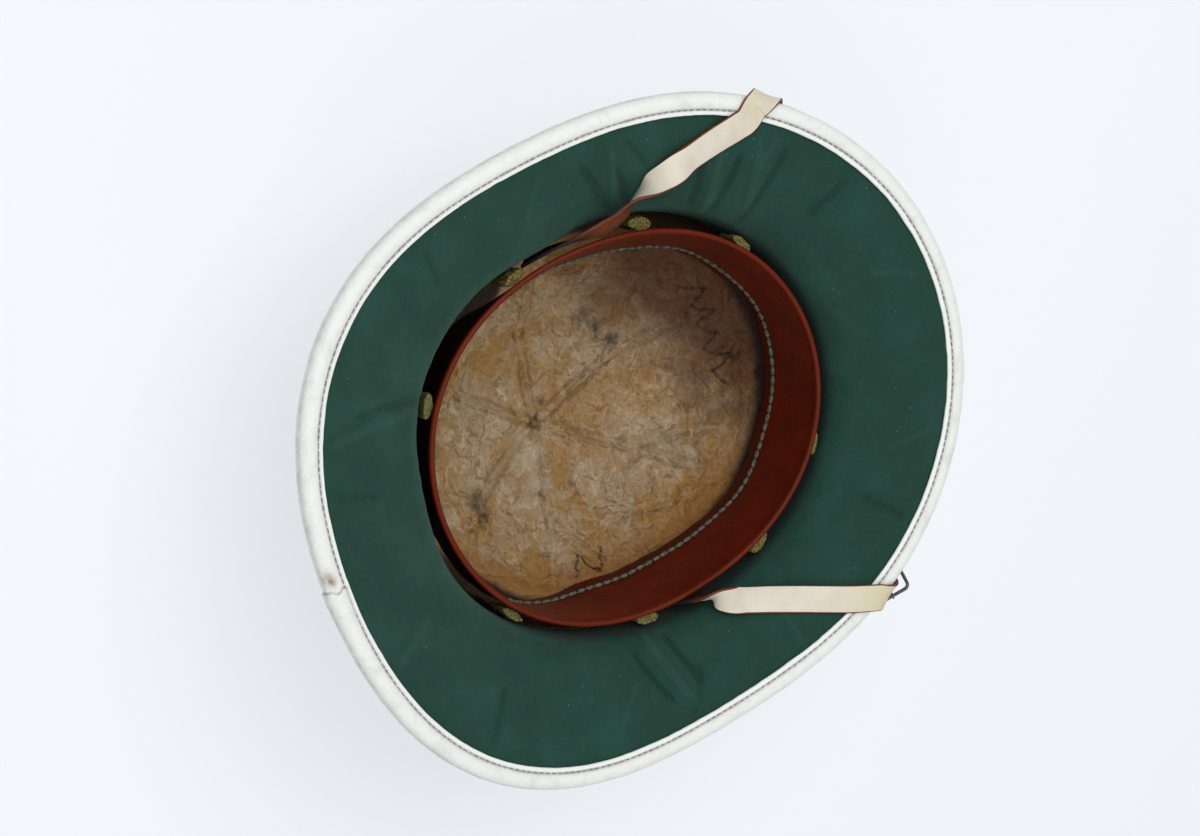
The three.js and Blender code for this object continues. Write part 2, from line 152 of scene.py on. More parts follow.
def edge_axes(angle):
    """The brim edge's corner and its axes: out along the brim, and up off its lined side."""
    a = np.atleast_1d(angle)[:, None]
    r, z = face(angle)
    origin = np.stack([r[:, -1], z[:, -1]], axis=1)
    wall = opening_radius(a)
    corner = around(CORNER_RISE, a)
    slope = (z[:, -1:] - corner) / (r[:, -1:] - wall)
    end_r = wall + ROLL_OUT
    end_z = corner + slope * ROLL_OUT
    last = 2 / 3
    inner_r = quadratic(end_r, (end_r + r[:, -1:]) / 2, r[:, -1:], last)
    inner_z = quadratic(end_z, (end_z + z[:, -1:]) / 2 + 2 * BRIM_CROWNING, z[:, -1:], last)
    out = origin - np.concatenate([inner_r, inner_z], axis=1)
    out /= np.linalg.norm(out, axis=1, keepdims=True)
    return origin, out, np.stack([-out[:, 1], out[:, 0]], axis=1)


def edge_points(angle, u, v):
    """Section points from distances along (u) and off (v) the brim's edge."""
    origin, out, up = edge_axes(angle)
    u, v = np.broadcast_arrays(np.atleast_2d(u), np.atleast_2d(v))
    r = origin[:, :1] + out[:, :1] * u + up[:, :1] * v
    z = origin[:, 1:] + out[:, 1:] * u + up[:, 1:] * v
    return r, z


def outer_skin(angle):
    a = np.atleast_1d(angle)[:, None]
    edge_r, edge_z = edge_points(angle, -PARALLEL_RUN, PITH_LOW)
    thick = PITH_INSIDE + PITH_AT_CROWN
    return skin(opening_radius(a) + thick, -(CROWN_DEPTH + thick),
                WALL_TOP - OUTER_ROLL_DOWN, around(CORNER_RISE, a) - thick, OUTER_ROLL_OUT,
                edge_r, edge_z, 0.0)


def offset(r, z, distance):
    """Moves each line of points sideways, to the right of its direction."""
    dr, dz = np.gradient(r, axis=1), np.gradient(z, axis=1)
    length = np.hypot(dr, dz)
    return r + dz / length * distance, z - dr / length * distance


def even(r, z, count, low=None, high=None):
    """Respaces each line evenly along its length, between two heights where they are given."""
    out_r, out_z, out_s = [], [], []
    for line_r, line_z in zip(r, z):
        s = np.concatenate([[0], np.cumsum(np.hypot(np.diff(line_r), np.diff(line_z)))])
        start = 0 if low is None else np.interp(low, line_z, s)
        if high is None:
            stop = s[-1]
        else:
            top = np.argmax(line_z > high)
            stop = np.interp(high, line_z[:top + 1], s[:top + 1])
        at = np.linspace(start, stop, count)
        out_r.append(np.interp(at, s, line_r))
        out_z.append(np.interp(at, s, line_z))
        out_s.append(at)
    return np.array(out_r), np.array(out_z), np.array(out_s)


def angles(count, near=(), spread=2.4, extra=6):
    """Angles round the helmet, with more of them beside each place in near (degrees)."""
    base = np.arange(count) * 360 / count
    more = [place_at + side * d for place_at in near for side in (-1, 1)
            for d in np.linspace(0.12, spread, extra)]
    every = np.concatenate([base, np.array(list(near) + more)]) % 360
    every = np.unique(np.round(every, 3))
    keep = np.concatenate([[True], np.diff(every) > 0.05])
    return np.radians(every[keep])


# ------------------------------------------------------------------ noise and small maths
def field(points, scale, octaves=3, seed=0.0):
    """Smooth noise from about -1 to 1 at points in metres. scale is its grain in mm."""
    flat = points.reshape(-1, 3) / (scale * MM) + seed
    values = [noise.fractal(Vector(p), 1.0, 2.0, octaves) for p in flat]
    return np.array(values).reshape(points.shape[:-1])


def ridges(points, scale, sharp, seed=0.0):
    """Thin raised lines where smooth noise passes through zero."""
    return (1 - np.clip(np.abs(field(points, scale, 2, seed)) * 1.6, 0, 1)) ** sharp


def creases(points, scale, seed=0.0, reach=0.3):
    """Straight sharp folds between irregular facets: 1 on a fold, 0 on a facet."""
    flat = points.reshape(-1, 3) / (scale * MM) + seed
    out = np.empty(len(flat))
    for i, p in enumerate(flat):
        near = noise.voronoi(p)[0]
        out[i] = near[1] - near[0]
    return np.clip(1 - out.reshape(points.shape[:-1]) / reach, 0, 1)


def smooth_step(x, low, high):
    t = np.clip((x - low) / (high - low), 0, 1)
    return t * t * (3 - 2 * t)


def not_below(height, floor):
    """Bends what dips so that it never goes lower than floor (mm, negative)."""
    return np.where(height < 0, floor * (1 - np.exp(-np.minimum(height, 0) / floor)), height)


def wrapped(angle):
    return (angle + math.pi) % (2 * math.pi) - math.pi


def normals(points, closed=False):
    """Unit normals of a grid whose rows go round the helmet."""
    across = np.roll(points, -1, axis=0) - np.roll(points, 1, axis=0)
    along = np.roll(points, -1, axis=1) - np.roll(points, 1, axis=1)
    if not closed:
        along[:, 0] = points[:, 1] - points[:, 0]
        along[:, -1] = points[:, -1] - points[:, -2]
    up = np.cross(across, along)
    return up / np.maximum(np.linalg.norm(up, axis=2, keepdims=True), 1e-12)


# ------------------------------------------------------------------ meshes
def finish_mesh(name, verts, faces, uvs=None, smooth=True):
    mesh = bpy.data.meshes.new(name)
    mesh.from_pydata([tuple(v) for v in verts], [], [tuple(f) for f in faces])
    if uvs is not None:
        layer = mesh.uv_layers.new(name="cloth")
        layer.data.foreach_set("uv", np.asarray(uvs, np.float32).ravel())
    mesh.validate()
    if smooth:
        mesh.shade_smooth()
    piece = bpy.data.objects.new(name, mesh)
    bpy.context.scene.collection.objects.link(piece)
    return piece


def ring_mesh(name, points, angle, poles=False):
    """A closed body from sections round the helmet. Each section closes on itself, or on the axis."""
    rows, cols = points.shape[:2]
    around_mm = np.append(angle, angle[0] + 2 * math.pi) * 100
    steps = np.linalg.norm(np.diff(points, axis=1), axis=2)
    s = np.concatenate([np.zeros((rows, 1)), np.cumsum(steps, axis=1)], axis=1) / MM
    last = np.linalg.norm(points[:, 0] - points[:, -1], axis=1)[:, None] / MM
    s = np.concatenate([s, s[:, -1:] + last], axis=1)
    if poles:
        verts = np.concatenate([points[:1, 0], points[:, 1:-1].reshape(-1, 3), points[:1, -1]])
        inner = cols - 2
        index = np.zeros((rows, cols), int)
        index[:, 1:-1] = 1 + np.arange(rows * inner).reshape(rows, inner)
        index[:, -1] = rows * inner + 1
        col_pairs = [(j, j + 1) for j in range(cols - 1)]
    else:
        verts = points.reshape(-1, 3)
        index = np.arange(rows * cols).reshape(rows, cols)
        col_pairs = [(j, (j + 1) % cols) for j in range(cols)]
    faces, uvs = [], []
    for i in range(rows):
        k = (i + 1) % rows
        for j, after in col_pairs:
            right = after if after else cols
            corners = [(index[i, j], i, i, j), (index[k, j], i + 1, k, j),
                       (index[k, after], i + 1, k, right), (index[i, after], i, i, right)]
            seen = []
            for corner in corners:
                if corner[0] not in [c[0] for c in seen]:
                    seen.append(corner)
            faces.append([c[0] for c in seen])
            uvs.extend((around_mm[c[1]], s[c[2], c[3]]) for c in seen)
    return finish_mesh(name, verts, faces, uvs)


def set_attribute(piece, name, values):
    layer = piece.data.attributes.new(name, "FLOAT", "POINT")
    layer.data.foreach_set("value", np.asarray(values, np.float32).ravel())


def tube_mesh(name, at, side, up, section, closed=False):
    """A body swept along stations. section holds (across, off) pairs in metres."""
    count, around_it = len(at), len(section)
    verts = (at[:, None] + side[:, None] * section[None, :, :1]
             + up[:, None] * section[None, :, 1:]).reshape(-1, 3)
    run = np.concatenate([[0], np.cumsum(np.linalg.norm(np.diff(at, axis=0), axis=1))]) / MM
    girth = np.arange(around_it + 1) * 1.0
    faces, uvs = [], []
    steps = count if closed else count - 1
    run = np.append(run, run[-1] + 1)
    for i in range(steps):
        k = (i + 1) % count
        for j in range(around_it):
            m = (j + 1) % around_it
            faces.append([i * around_it + j, k * around_it + j, k * around_it + m, i * around_it + m])
            uvs += [(run[i], girth[j]), (run[i + 1], girth[j]), (run[i + 1], girth[j + 1]),
                    (run[i], girth[j + 1])]
    if not closed:
        ends = (list(range(around_it)), [(count - 1) * around_it + j for j in range(around_it)][::-1])
        for loop, where in zip(ends, (0, count - 1)):
            faces.append(loop)
            uvs += [(run[where], girth[j]) for j in range(around_it)]
    piece = finish_mesh(name, verts, faces, uvs)
    return outward_faces(piece)


def outward_faces(piece):
    """Turns the faces so that a closed body looks outwards."""
    mesh = piece.data
    mesh.calc_loop_triangles()
    co = np.array([v.co for v in mesh.vertices])
    tri = np.array([t.vertices for t in mesh.loop_triangles])
    a, b, c = co[tri[:, 0]], co[tri[:, 1]], co[tri[:, 2]]
    if (a * np.cross(b, c)).sum() < 0:
        mesh.flip_normals()
    return piece


def rounded_rectangle(width, height, corner, corner_steps=4):
    """Section points of a flat strip, in metres, anticlockwise."""
    out = []
    for centre_x, centre_y, start in ((1, 1, 0), (-1, 1, 90), (-1, -1, 180), (1, -1, 270)):
        for step in range(corner_steps + 1):
            turn = math.radians(start + 90 * step / corner_steps)
            out.append((centre_x * (width / 2 - corner) + corner * math.cos(turn),
                        centre_y * (height / 2 - corner) + corner * math.sin(turn)))
    return np.array(out) * MM


def beads(name, at, along, up, length, width, height, twist=0.0, power=0.75):
    """Many small stitches as one mesh: each a long rounded bead lying along its frame."""
    long_steps, round_steps = 7, 8
    t = np.linspace(-1, 1, long_steps)
    radius = np.maximum(1 - np.abs(t) ** 2.6, 0) ** 0.5
    radius[0] = radius[-1] = 0.25
    turn = np.linspace(0, 2 * math.pi, round_steps, endpoint=False)
    side = np.cross(up, along)
    verts, faces = [], []
    for n in range(len(at)):
        base = n * long_steps * round_steps
        for i in range(long_steps):
            for w in turn:
                x = t[i] * length / 2
                y = math.cos(w + twist * t[i]) * radius[i] * width / 2
                z = math.sin(w + twist * t[i]) * radius[i] * height / 2
                verts.append(at[n] + (along[n] * x + side[n] * y + up[n] * z) * MM)
        for i in range(long_steps - 1):
            for j in range(round_steps):
                m = (j + 1) % round_steps
                a, b = base + i * round_steps, base + (i + 1) * round_steps
                faces.append([a + j, b + j, b + m, a + m])
        faces.append([base + j for j in range(round_steps)])
        tail = base + (long_steps - 1) * round_steps
        faces.append([tail + j for j in range(round_steps)][::-1])
    return outward_faces(finish_mesh(name, verts, faces))


def sub_range(line, start, stop):
    return line[start:stop]


# ------------------------------------------------------------------ materials
def linear(red, green, blue):
    """A display colour, each channel from 0 to 255, as the shader wants it."""
    def one(value):
        value /= 255
        return value / 12.92 if value <= 0.04045 else ((value + 0.055) / 1.055) ** 2.4
    return (one(red), one(green), one(blue), 1.0)


class Paint:
    """A procedural material and short ways to add nodes to it."""

    def __init__(self, name, color, roughness, **sockets):
        self.material = bpy.data.materials.new(name)
        self.material.use_nodes = True
        self.tree = self.material.node_tree
        self.shader = self.tree.nodes["Principled BSDF"]
        self.material.diffuse_color = color
        self.shader.inputs["Base Color"].default_value = color
        self.shader.inputs["Roughness"].default_value = roughness
        for socket, value in sockets.items():
            self.shader.inputs[socket.replace("_", " ")].default_value = value

    def node(self, kind, inputs=None, **settings):
        made = self.tree.nodes.new(kind)
        for key, value in settings.items():
            setattr(made, key, value)
        for key, value in (inputs or {}).items():
            self.put(made.inputs[key], value)
        return made

    def put(self, socket, value):
        if isinstance(value, bpy.types.NodeSocket):
            self.tree.links.new(value, socket)
        else:
            socket.default_value = value

    def place_mm(self):
        """Object position in millimetres, scaled so that one unit of noise is one millimetre."""
        where = self.node("ShaderNodeTexCoord").outputs["Object"]
        return self.node("ShaderNodeVectorMath", {0: where, 1: (1000, 1000, 1000)},
                         operation="MULTIPLY").outputs[0]

    def cloth_mm(self):
        return self.node("ShaderNodeUVMap", uv_map="cloth").outputs[0]

    def stretch(self, where, x, y, z):
        return self.node("ShaderNodeVectorMath", {0: where, 1: (x, y, z)},
                         operation="MULTIPLY").outputs[0]

    def noise(self, where, grain, detail=3.0, rough=0.55, distort=0.0):
        return self.node("ShaderNodeTexNoise", {
            "Vector": where, "Scale": 1 / grain, "Detail": detail, "Roughness": rough,
            "Distortion": distort}).outputs["Fac"]

    def cells(self, where, grain, feature="F1"):
        return self.node("ShaderNodeTexVoronoi", {"Vector": where, "Scale": 1 / grain},
                         feature=feature).outputs["Distance"]

    def facets(self, where, grain):
        """Angular facets with bent edges: 0 on each edge, rising to the middle of a facet."""
        drift = self.node("ShaderNodeTexNoise", {"Vector": where, "Scale": 0.7 / grain, "Detail": 3.0})
        drift = self.stretch(drift.outputs["Color"], grain * 1.6, grain * 1.6, grain * 1.6)
        moved = self.node("ShaderNodeVectorMath", {0: where, 1: drift}, operation="ADD")
        return self.cells(moved.outputs[0], grain, "DISTANCE_TO_EDGE")

    def levels(self, value, low, high, to_low=0.0, to_high=1.0):
        return self.node("ShaderNodeMapRange", {
            "Value": value, "From Min": low, "From Max": high, "To Min": to_low,
            "To Max": to_high}, interpolation_type="SMOOTHSTEP").outputs["Result"]

    def math(self, operation, a, b=0.0):
        return self.node("ShaderNodeMath", {0: a, 1: b}, operation=operation).outputs[0]

    def mix(self, factor, a, b, blend="MIX"):
        made = self.node("ShaderNodeMix", data_type="RGBA", blend_type=blend)
        self.put(made.inputs["Factor"], factor)
        self.put(made.inputs[6], a)
        self.put(made.inputs[7], b)
        return made.outputs[2]

    def attribute(self, name):
        return self.node("ShaderNodeAttribute", attribute_name=name).outputs["Fac"]

    def blob(self, where, centre, radius, soft=0.6):
        """1 inside a ball of the given radius in mm, falling to 0 over its soft share."""
        off = self.node("ShaderNodeVectorMath", {0: where, 1: tuple(centre)},
                        operation="DISTANCE").outputs["Value"]
        return self.levels(off, radius * (1 + soft), radius * (1 - soft))

    def bump(self, height, distance_mm, normal=None, strength=1.0):
        inputs = {"Height": height, "Distance": distance_mm * MM, "Strength": strength}
        if normal is not None:
            inputs["Normal"] = normal
        return self.node("ShaderNodeBump", inputs).outputs[0]

    def done(self, color=None, normal=None, roughness=None):
        if color is not None:
            self.put(self.shader.inputs["Base Color"], color)
        if normal is not None:
            self.put(self.shader.inputs["Normal"], normal)
        if roughness is not None:
            self.put(self.shader.inputs["Roughness"], roughness)
        return self.material


def weave(paint, thread, height_mm, normal=None):
    """Fine crossing threads over the piece's own cloth coordinates."""
    where = paint.cloth_mm()
    waves = []
    for direction in ("X", "Y"):
        waves.append(paint.node("ShaderNodeTexWave", {
            "Vector": where, "Scale": 0.314 / thread, "Distortion": 1.2, "Detail": 2.0,
            "Detail Scale": 0.4}, wave_type="BANDS", bands_direction=direction).outputs["Fac"])
    crossing = paint.math("MAXIMUM", waves[0], waves[1])
    return crossing, paint.bump(crossing, height_mm, normal)


def green_cloth():
    paint = Paint("green_cotton", linear(33, 68, 57), 0.92, Sheen_Weight=0.25, Sheen_Roughness=0.5,
                  Specular_IOR_Level=0.2)
    paint.shader.inputs["Sheen Tint"].default_value = linear(150, 190, 175)
    where = paint.place_mm()
    threads, normal = weave(paint, 0.55, 0.10)
    patches = paint.levels(paint.noise(where, 26, 3), 0.35, 0.7)
    color = paint.mix(patches, linear(27, 60, 50), linear(35, 71, 60))
    grain = paint.levels(paint.noise(where, 0.9, 3, 0.7), 0.3, 0.75)
    color = paint.mix(paint.math("MULTIPLY", grain, 0.3), color, linear(48, 86, 74))
    color = paint.mix(paint.math("MULTIPLY", threads, 0.18), color, linear(18, 46, 38))
    fade = paint.levels(paint.noise(where, 9, 4, 0.6), 0.55, 0.8)
    color = paint.mix(paint.math("MULTIPLY", fade, 0.22), color, linear(58, 88, 72))
    lint = paint.levels(paint.cells(where, 7.5), 0.045, 0.02)
    color = paint.mix(paint.math("MULTIPLY", lint, 0.75), color, linear(120, 150, 138))
    # Painted shade in the valleys of the folds and painted highlight on their crests.
    fold_shade = paint.levels(paint.attribute("fold"), -0.15, -0.9)
    color = paint.mix(paint.math("MULTIPLY", fold_shade, 0.5), color, linear(15, 36, 30))
    fold_highlight = paint.levels(paint.attribute("fold"), 0.2, 0.9)
    color = paint.mix(paint.math("MULTIPLY", fold_highlight, 0.2), color, linear(56, 94, 82))
    # Painted shade: the cloth turned down into the opening, and its hidden back, are painted near black.
    color = paint.mix(paint.attribute("gap_shade"), color, linear(8, 14, 12))
    soft = paint.bump(paint.noise(where, 3.0, 3), 0.22, normal)
    return paint.done(color, soft)


def white_cover_cloth():
    paint = Paint("white_cotton_cover", linear(226, 224, 216), 0.88, Sheen_Weight=0.15)
    where = paint.place_mm()
    threads, normal = weave(paint, 0.6, 0.10)
    patches = paint.levels(paint.noise(where, 34, 4, 0.6), 0.35, 0.75)
    color = paint.mix(paint.math("MULTIPLY", patches, 0.5), linear(228, 226, 219), linear(210, 205, 191))
    dirt = paint.levels(paint.noise(where, 11, 5, 0.7), 0.6, 0.85)
    color = paint.mix(paint.math("MULTIPLY", dirt, 0.35), color, linear(170, 160, 140))
    color = paint.mix(paint.math("MULTIPLY", threads, 0.12), color, linear(196, 192, 180))
    color = paint.mix(paint.levels(paint.attribute("seam"), 0.05, 1.0, 0, 0.35), color,
                      linear(170, 163, 146))
    return paint.done(color, paint.bump(paint.noise(where, 4.0, 3), 0.25, normal))


def varnished_paper():
    paint = Paint("varnished_brown_paper", linear(184, 142, 88), 0.5, Coat_Weight=0.15,
                  Coat_Roughness=0.35)
    where = paint.place_mm()
    warm = paint.levels(paint.noise(where, 26, 4, 0.6, 0.5), 0.38, 0.64)
    color = paint.mix(warm, linear(196, 150, 84), linear(208, 180, 142))
    pale = paint.levels(paint.noise(where, 11, 6, 0.7, 1.2), 0.50, 0.68)
    color = paint.mix(paint.math("MULTIPLY", pale, 0.6), color, linear(238, 220, 186))
    swirl = paint.levels(paint.noise(where, 7, 7, 0.72, 2.6), 0.52, 0.62)
    color = paint.mix(paint.math("MULTIPLY", swirl, 0.55), color, linear(138, 98, 54))
    # Lighter on the crests of the creases: partly worn varnish, partly painted highlight.
    worn_crest_and_highlight = paint.levels(paint.attribute("crease"), 0.2, 0.9)
    color = paint.mix(paint.math("MULTIPLY", worn_crest_and_highlight, 0.35), color, linear(226, 194, 138))
    # Painted shade in the hollows of the folds and creases.
    painted_hollow_shade = paint.levels(paint.attribute("hollow_shade"), 0.1, 0.9)
    color = paint.mix(paint.math("MULTIPLY", painted_hollow_shade, 0.6), color, linear(88, 58, 30))
    wide, narrow = (paint.facets(where, grain) for grain in (21, 10))
    broken = paint.levels(paint.noise(where, 15, 3), 0.46, 0.6)
    # Painted shade as dark lines along the wide creases and painted highlight as pale lines along the
    # narrow ones.
    for edges, share, tone in ((wide, 0.5, (110, 72, 34)), (narrow, 0.45, (246, 224, 178))):
        thin = paint.math("MULTIPLY", paint.levels(edges, 0.045, 0.0), broken)
        color = paint.mix(paint.math("MULTIPLY", thin, share), color, linear(*tone))
    wrinkle = paint.noise(where, 4.2, 7, 0.75, 3.2)
    # Painted shade in the low parts of the fine wrinkles and painted highlight on the high parts.
    wrinkle_shade = paint.levels(wrinkle, 0.46, 0.40)
    color = paint.mix(paint.math("MULTIPLY", wrinkle_shade, 0.3), color, linear(120, 80, 38))
    wrinkle_highlight = paint.levels(wrinkle, 0.58, 0.66)
    color = paint.mix(paint.math("MULTIPLY", wrinkle_highlight, 0.4), color, linear(226, 204, 164))
    specks = paint.levels(paint.noise(where, 1.3, 4, 0.8), 0.57, 0.70)
    color = paint.mix(paint.math("MULTIPLY", specks, 0.35), color, linear(96, 70, 44))
    blotted = paint.levels(paint.noise(where, 5, 6, 0.8), 0.2, 0.62)
    smudge = paint.math("MULTIPLY", paint.attribute("smudge"), blotted)
    color = paint.mix(smudge, color, linear(50, 50, 50))
    # Painted highlight: pale patches where the light is reflected in the varnish.
    color = paint.mix(paint.math("MULTIPLY", paint.attribute("pale"), 0.75), color,
                      linear(226, 212, 184))
    color = paint.mix(paint.math("MULTIPLY", paint.attribute("amber"), 0.75), color,
                      linear(186, 128, 62))
    # Painted shade: the forward and right side of the crown's inside is painted dark.
    color = paint.mix(paint.math("MULTIPLY", paint.attribute("shaded_side"), 0.85), color,
                      linear(92, 40, 12))
    # Painted shade: the paper's wall behind the sweatband is painted near black.
    color = paint.mix(paint.attribute("gap_shade"), color, linear(26, 16, 10))
    color = paint.mix(paint.attribute("crack"), color, linear(8, 5, 4))
    normal = paint.bump(wrinkle, 1.6)
    for edges, deep in ((wide, 6.0), (narrow, 3.0)):
        normal = paint.bump(edges, deep, normal)
    fine = paint.bump(paint.noise(where, 1.8, 6, 0.7, 1.5), 0.6, normal)
    rough = paint.levels(paint.noise(where, 8, 3), 0.3, 0.7, 0.32, 0.6)
    return paint.done(color, fine, rough)


def white_leather():
    paint = Paint("white_coated_leather", linear(226, 228, 224), 0.5)
    where = paint.place_mm()
    soil = paint.levels(paint.noise(where, 9, 5, 0.7, 0.6), 0.45, 0.75)
    color = paint.mix(paint.math("MULTIPLY", soil, 0.5), linear(236, 238, 232), linear(206, 206, 198))
    grime = paint.math("MULTIPLY", paint.attribute("grime"),
                       paint.levels(paint.noise(where, 5, 5, 0.75), 0.3, 0.7, 0.35, 1.0))
    color = paint.mix(grime, color, linear(150, 150, 146))
    scuff = paint.levels(paint.noise(where, 3.2, 5, 0.8, 1.0), 0.64, 0.74)
    color = paint.mix(paint.math("MULTIPLY", scuff, 0.55), color, linear(140, 142, 146))
    color = paint.mix(paint.attribute("stain"), color, linear(128, 92, 60))
    color = paint.mix(paint.attribute("lip"), color, linear(240, 243, 240))
    crazing = paint.levels(paint.cells(where, 1.7, "DISTANCE_TO_EDGE"), 0.0, 0.16)
    normal = paint.bump(crazing, 0.06)
    normal = paint.bump(paint.noise(where, 2.5, 4, 0.6), 0.25, normal)
    return paint.done(color, normal)


def brown_leather(name, base, dark, light, roughness, coat):
    paint = Paint(name, base, roughness, Coat_Weight=coat, Coat_Roughness=0.25)
    where = paint.place_mm()
    patches = paint.levels(paint.noise(where, 20, 4, 0.6), 0.35, 0.7)
    color = paint.mix(patches, dark, base)
    streak = paint.levels(paint.noise(paint.stretch(where, 1, 1, 0.3), 3.5, 4, 0.6), 0.55, 0.8)
    color = paint.mix(paint.math("MULTIPLY", streak, 0.3), color, light)
    grain = paint.levels(paint.cells(where, 0.8), 0.1, 0.7)
    normal = paint.bump(grain, 0.05)
    normal = paint.bump(paint.noise(where, 5, 3), 0.25, normal)
    return paint, color, normal


def band_leather():
    paint, color, normal = brown_leather("sweatband_leather", linear(102, 20, 4),
                                         linear(82, 13, 2), linear(126, 40, 16), 0.45, 0.04)
    paint.shader.inputs["Specular IOR Level"].default_value = 0.25
    paint.shader.inputs["Specular Tint"].default_value = (1.0, 0.5, 0.35, 1.0)
    color = paint.mix(paint.levels(paint.attribute("rim"), 0.1, 1.0, 0, 0.6), color,
                      linear(98, 34, 16))
    color = paint.mix(paint.levels(paint.attribute("deep"), 0.2, 1.0, 0, 0.7), color,
                      linear(60, 5, 1))
    # Painted shade: the band's outer face, down in the gap, is painted near black.
    color = paint.mix(paint.attribute("gap_shade"), color, linear(20, 10, 7))
    return paint.done(color, normal)


def strap_back():
    paint, color, normal = brown_leather("strap_brown_side", linear(124, 58, 26),
                                         linear(92, 38, 16), linear(156, 88, 48), 0.6, 0.0)
    color = paint.mix(paint.attribute("shade"), color, linear(26, 10, 6))
    return paint.done(color, normal)


def strap_face():
    paint = Paint("strap_cream_face", linear(222, 213, 196), 0.55)
    where = paint.place_mm()
    tone = paint.levels(paint.noise(where, 11, 4, 0.6), 0.35, 0.75)
    color = paint.mix(tone, linear(224, 215, 199), linear(214, 203, 184))
    color = paint.mix(paint.math("MULTIPLY", paint.attribute("aged"), 0.6), color,
                      linear(206, 196, 150))
    fine = paint.levels(paint.noise(where, 1.4, 4, 0.7), 0.58, 0.8)
    color = paint.mix(paint.math("MULTIPLY", fine, 0.2), color, linear(190, 174, 152))
    color = paint.mix(paint.attribute("shade"), color, linear(26, 10, 6))
    normal = paint.bump(paint.noise(where, 1.1, 4, 0.7), 0.08)
    return paint.done(color, normal)


def cork_bark():
    paint = Paint("olive_cork", linear(122, 112, 62), 0.95, Specular_IOR_Level=0.15)
    where = paint.place_mm()
    grains = paint.levels(paint.cells(where, 1.1), 0.1, 0.8)
    color = paint.mix(grains, linear(142, 132, 76), linear(88, 76, 38))
    pits = paint.levels(paint.noise(where, 1.5, 5, 0.8), 0.56, 0.68)
    color = paint.mix(pits, color, linear(52, 42, 22))
    tint = paint.levels(paint.noise(where, 16, 2), 0.35, 0.65)
    color = paint.mix(paint.math("MULTIPLY", tint, 0.45), color, linear(104, 116, 76))
    return paint.done(color, paint.bump(grains, 0.3))


def dark_metal():
    paint = Paint("dark_buckle_metal", linear(84, 86, 90), 0.42, Metallic=0.85)
    where = paint.place_mm()
    rust = paint.levels(paint.noise(where, 1.6, 5, 0.75), 0.5, 0.72)
    color = paint.mix(rust, linear(92, 95, 100), linear(44, 36, 34))
    return paint.done(color, paint.bump(paint.noise(where, 0.7, 4), 0.05))


def thread(name, light, dark):
    paint = Paint(name, light, 0.85)
    where = paint.place_mm()
    plies = paint.levels(paint.noise(where, 0.8, 3, 0.6), 0.35, 0.65)
    return paint.done(paint.mix(plies, dark, light), paint.bump(plies, 0.12))


def plain_floor():
    paint = Paint("pale_floor", linear(180, 181, 184), 0.9, Specular_IOR_Level=0.1,
                  Emission_Color=(0.93, 0.955, 1.0, 1.0), Emission_Strength=0.49)
    return paint.done()


# ------------------------------------------------------------------ putting pieces on the frame
def own(piece, slot, *nodes, material=None):
    """Rides a piece on the helmet, hides the frame's parts that it stands for and gives it its finish."""
    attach(piece, "root")
    if nodes:
        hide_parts(*nodes)
    if material is not None:
        piece.data.materials.append(material)
    return piece


# ------------------------------------------------------------------ cover and button
def cover(material):
    """The white outside: a dome of sewn gores and the top of the brim."""
    seams = [(k + 0.5) * 360 / GORES for k in range(GORES)]
    a = angles(216, seams)
    r, z = outer_skin(a)
    r, z, s = even(r, z, 84)
    inner_r, inner_z = offset(*face(a), PITH_INSIDE + 0.4)
    inner_r, inner_z, _ = even(inner_r, inner_z, 110)
    inner_r[:, 0] = 0
    inner_z[:, 0] = -CROWN_DEPTH - PITH_INSIDE - 0.4
    edge_turn = np.linspace(-90, 90, 7)
    radius = PITH_AT_EDGE / 2
    tip_r, tip_z = edge_points(a, 4 + radius * np.cos(np.radians(edge_turn)),
                               PITH_LOW + radius + radius * np.sin(np.radians(edge_turn)))
    outer = place(a[:, None], r, z)
    off_seam = np.min([np.abs(wrapped(a - math.radians(m))) for m in seams], axis=0)[:, None] * r
    reach = smooth_step(r, BUTTON_RADIUS - 4, BUTTON_RADIUS + 14)
    welt = np.exp(-(off_seam / 2.0) ** 2) - 1.1 * np.exp(-(off_seam / 0.55) ** 2)
    quilt = 0.5 * (field(outer, 46, 2, 5.0) + 0.5 * field(outer, 15, 2, 9.0))
    height = (0.42 * welt + 0.28 * quilt) * reach
    height *= smooth_step(s[:, -1:] - s, 1.0, 9.0)
    outer = outer + normals(outer) * (-height[..., None] * MM)
    parts = [outer, place(a[:, None], tip_r, tip_z), place(a[:, None], inner_r, inner_z)[:, ::-1]]
    points = np.concatenate(parts, axis=1)[:, ::-1]
    piece = ring_mesh("cover", points, a, poles=True)
    seam = np.exp(-(off_seam / 1.6) ** 2) * reach
    plain = np.zeros((len(a), points.shape[1] - outer.shape[1]))
    values = np.concatenate([seam, plain], axis=1)[:, ::-1]
    set_attribute(piece, "seam", pole_values(values))
    outward_faces(piece)
    return own(piece, "cover_cloth", "shell", material=material), seams


def pole_values(values):
    """A grid of values in the order of ring_mesh's vertices when it has poles."""
    return np.concatenate([values[:1, 0], values[:, 1:-1].ravel(), values[:1, -1]])


BUTTON_RADIUS = 17.0


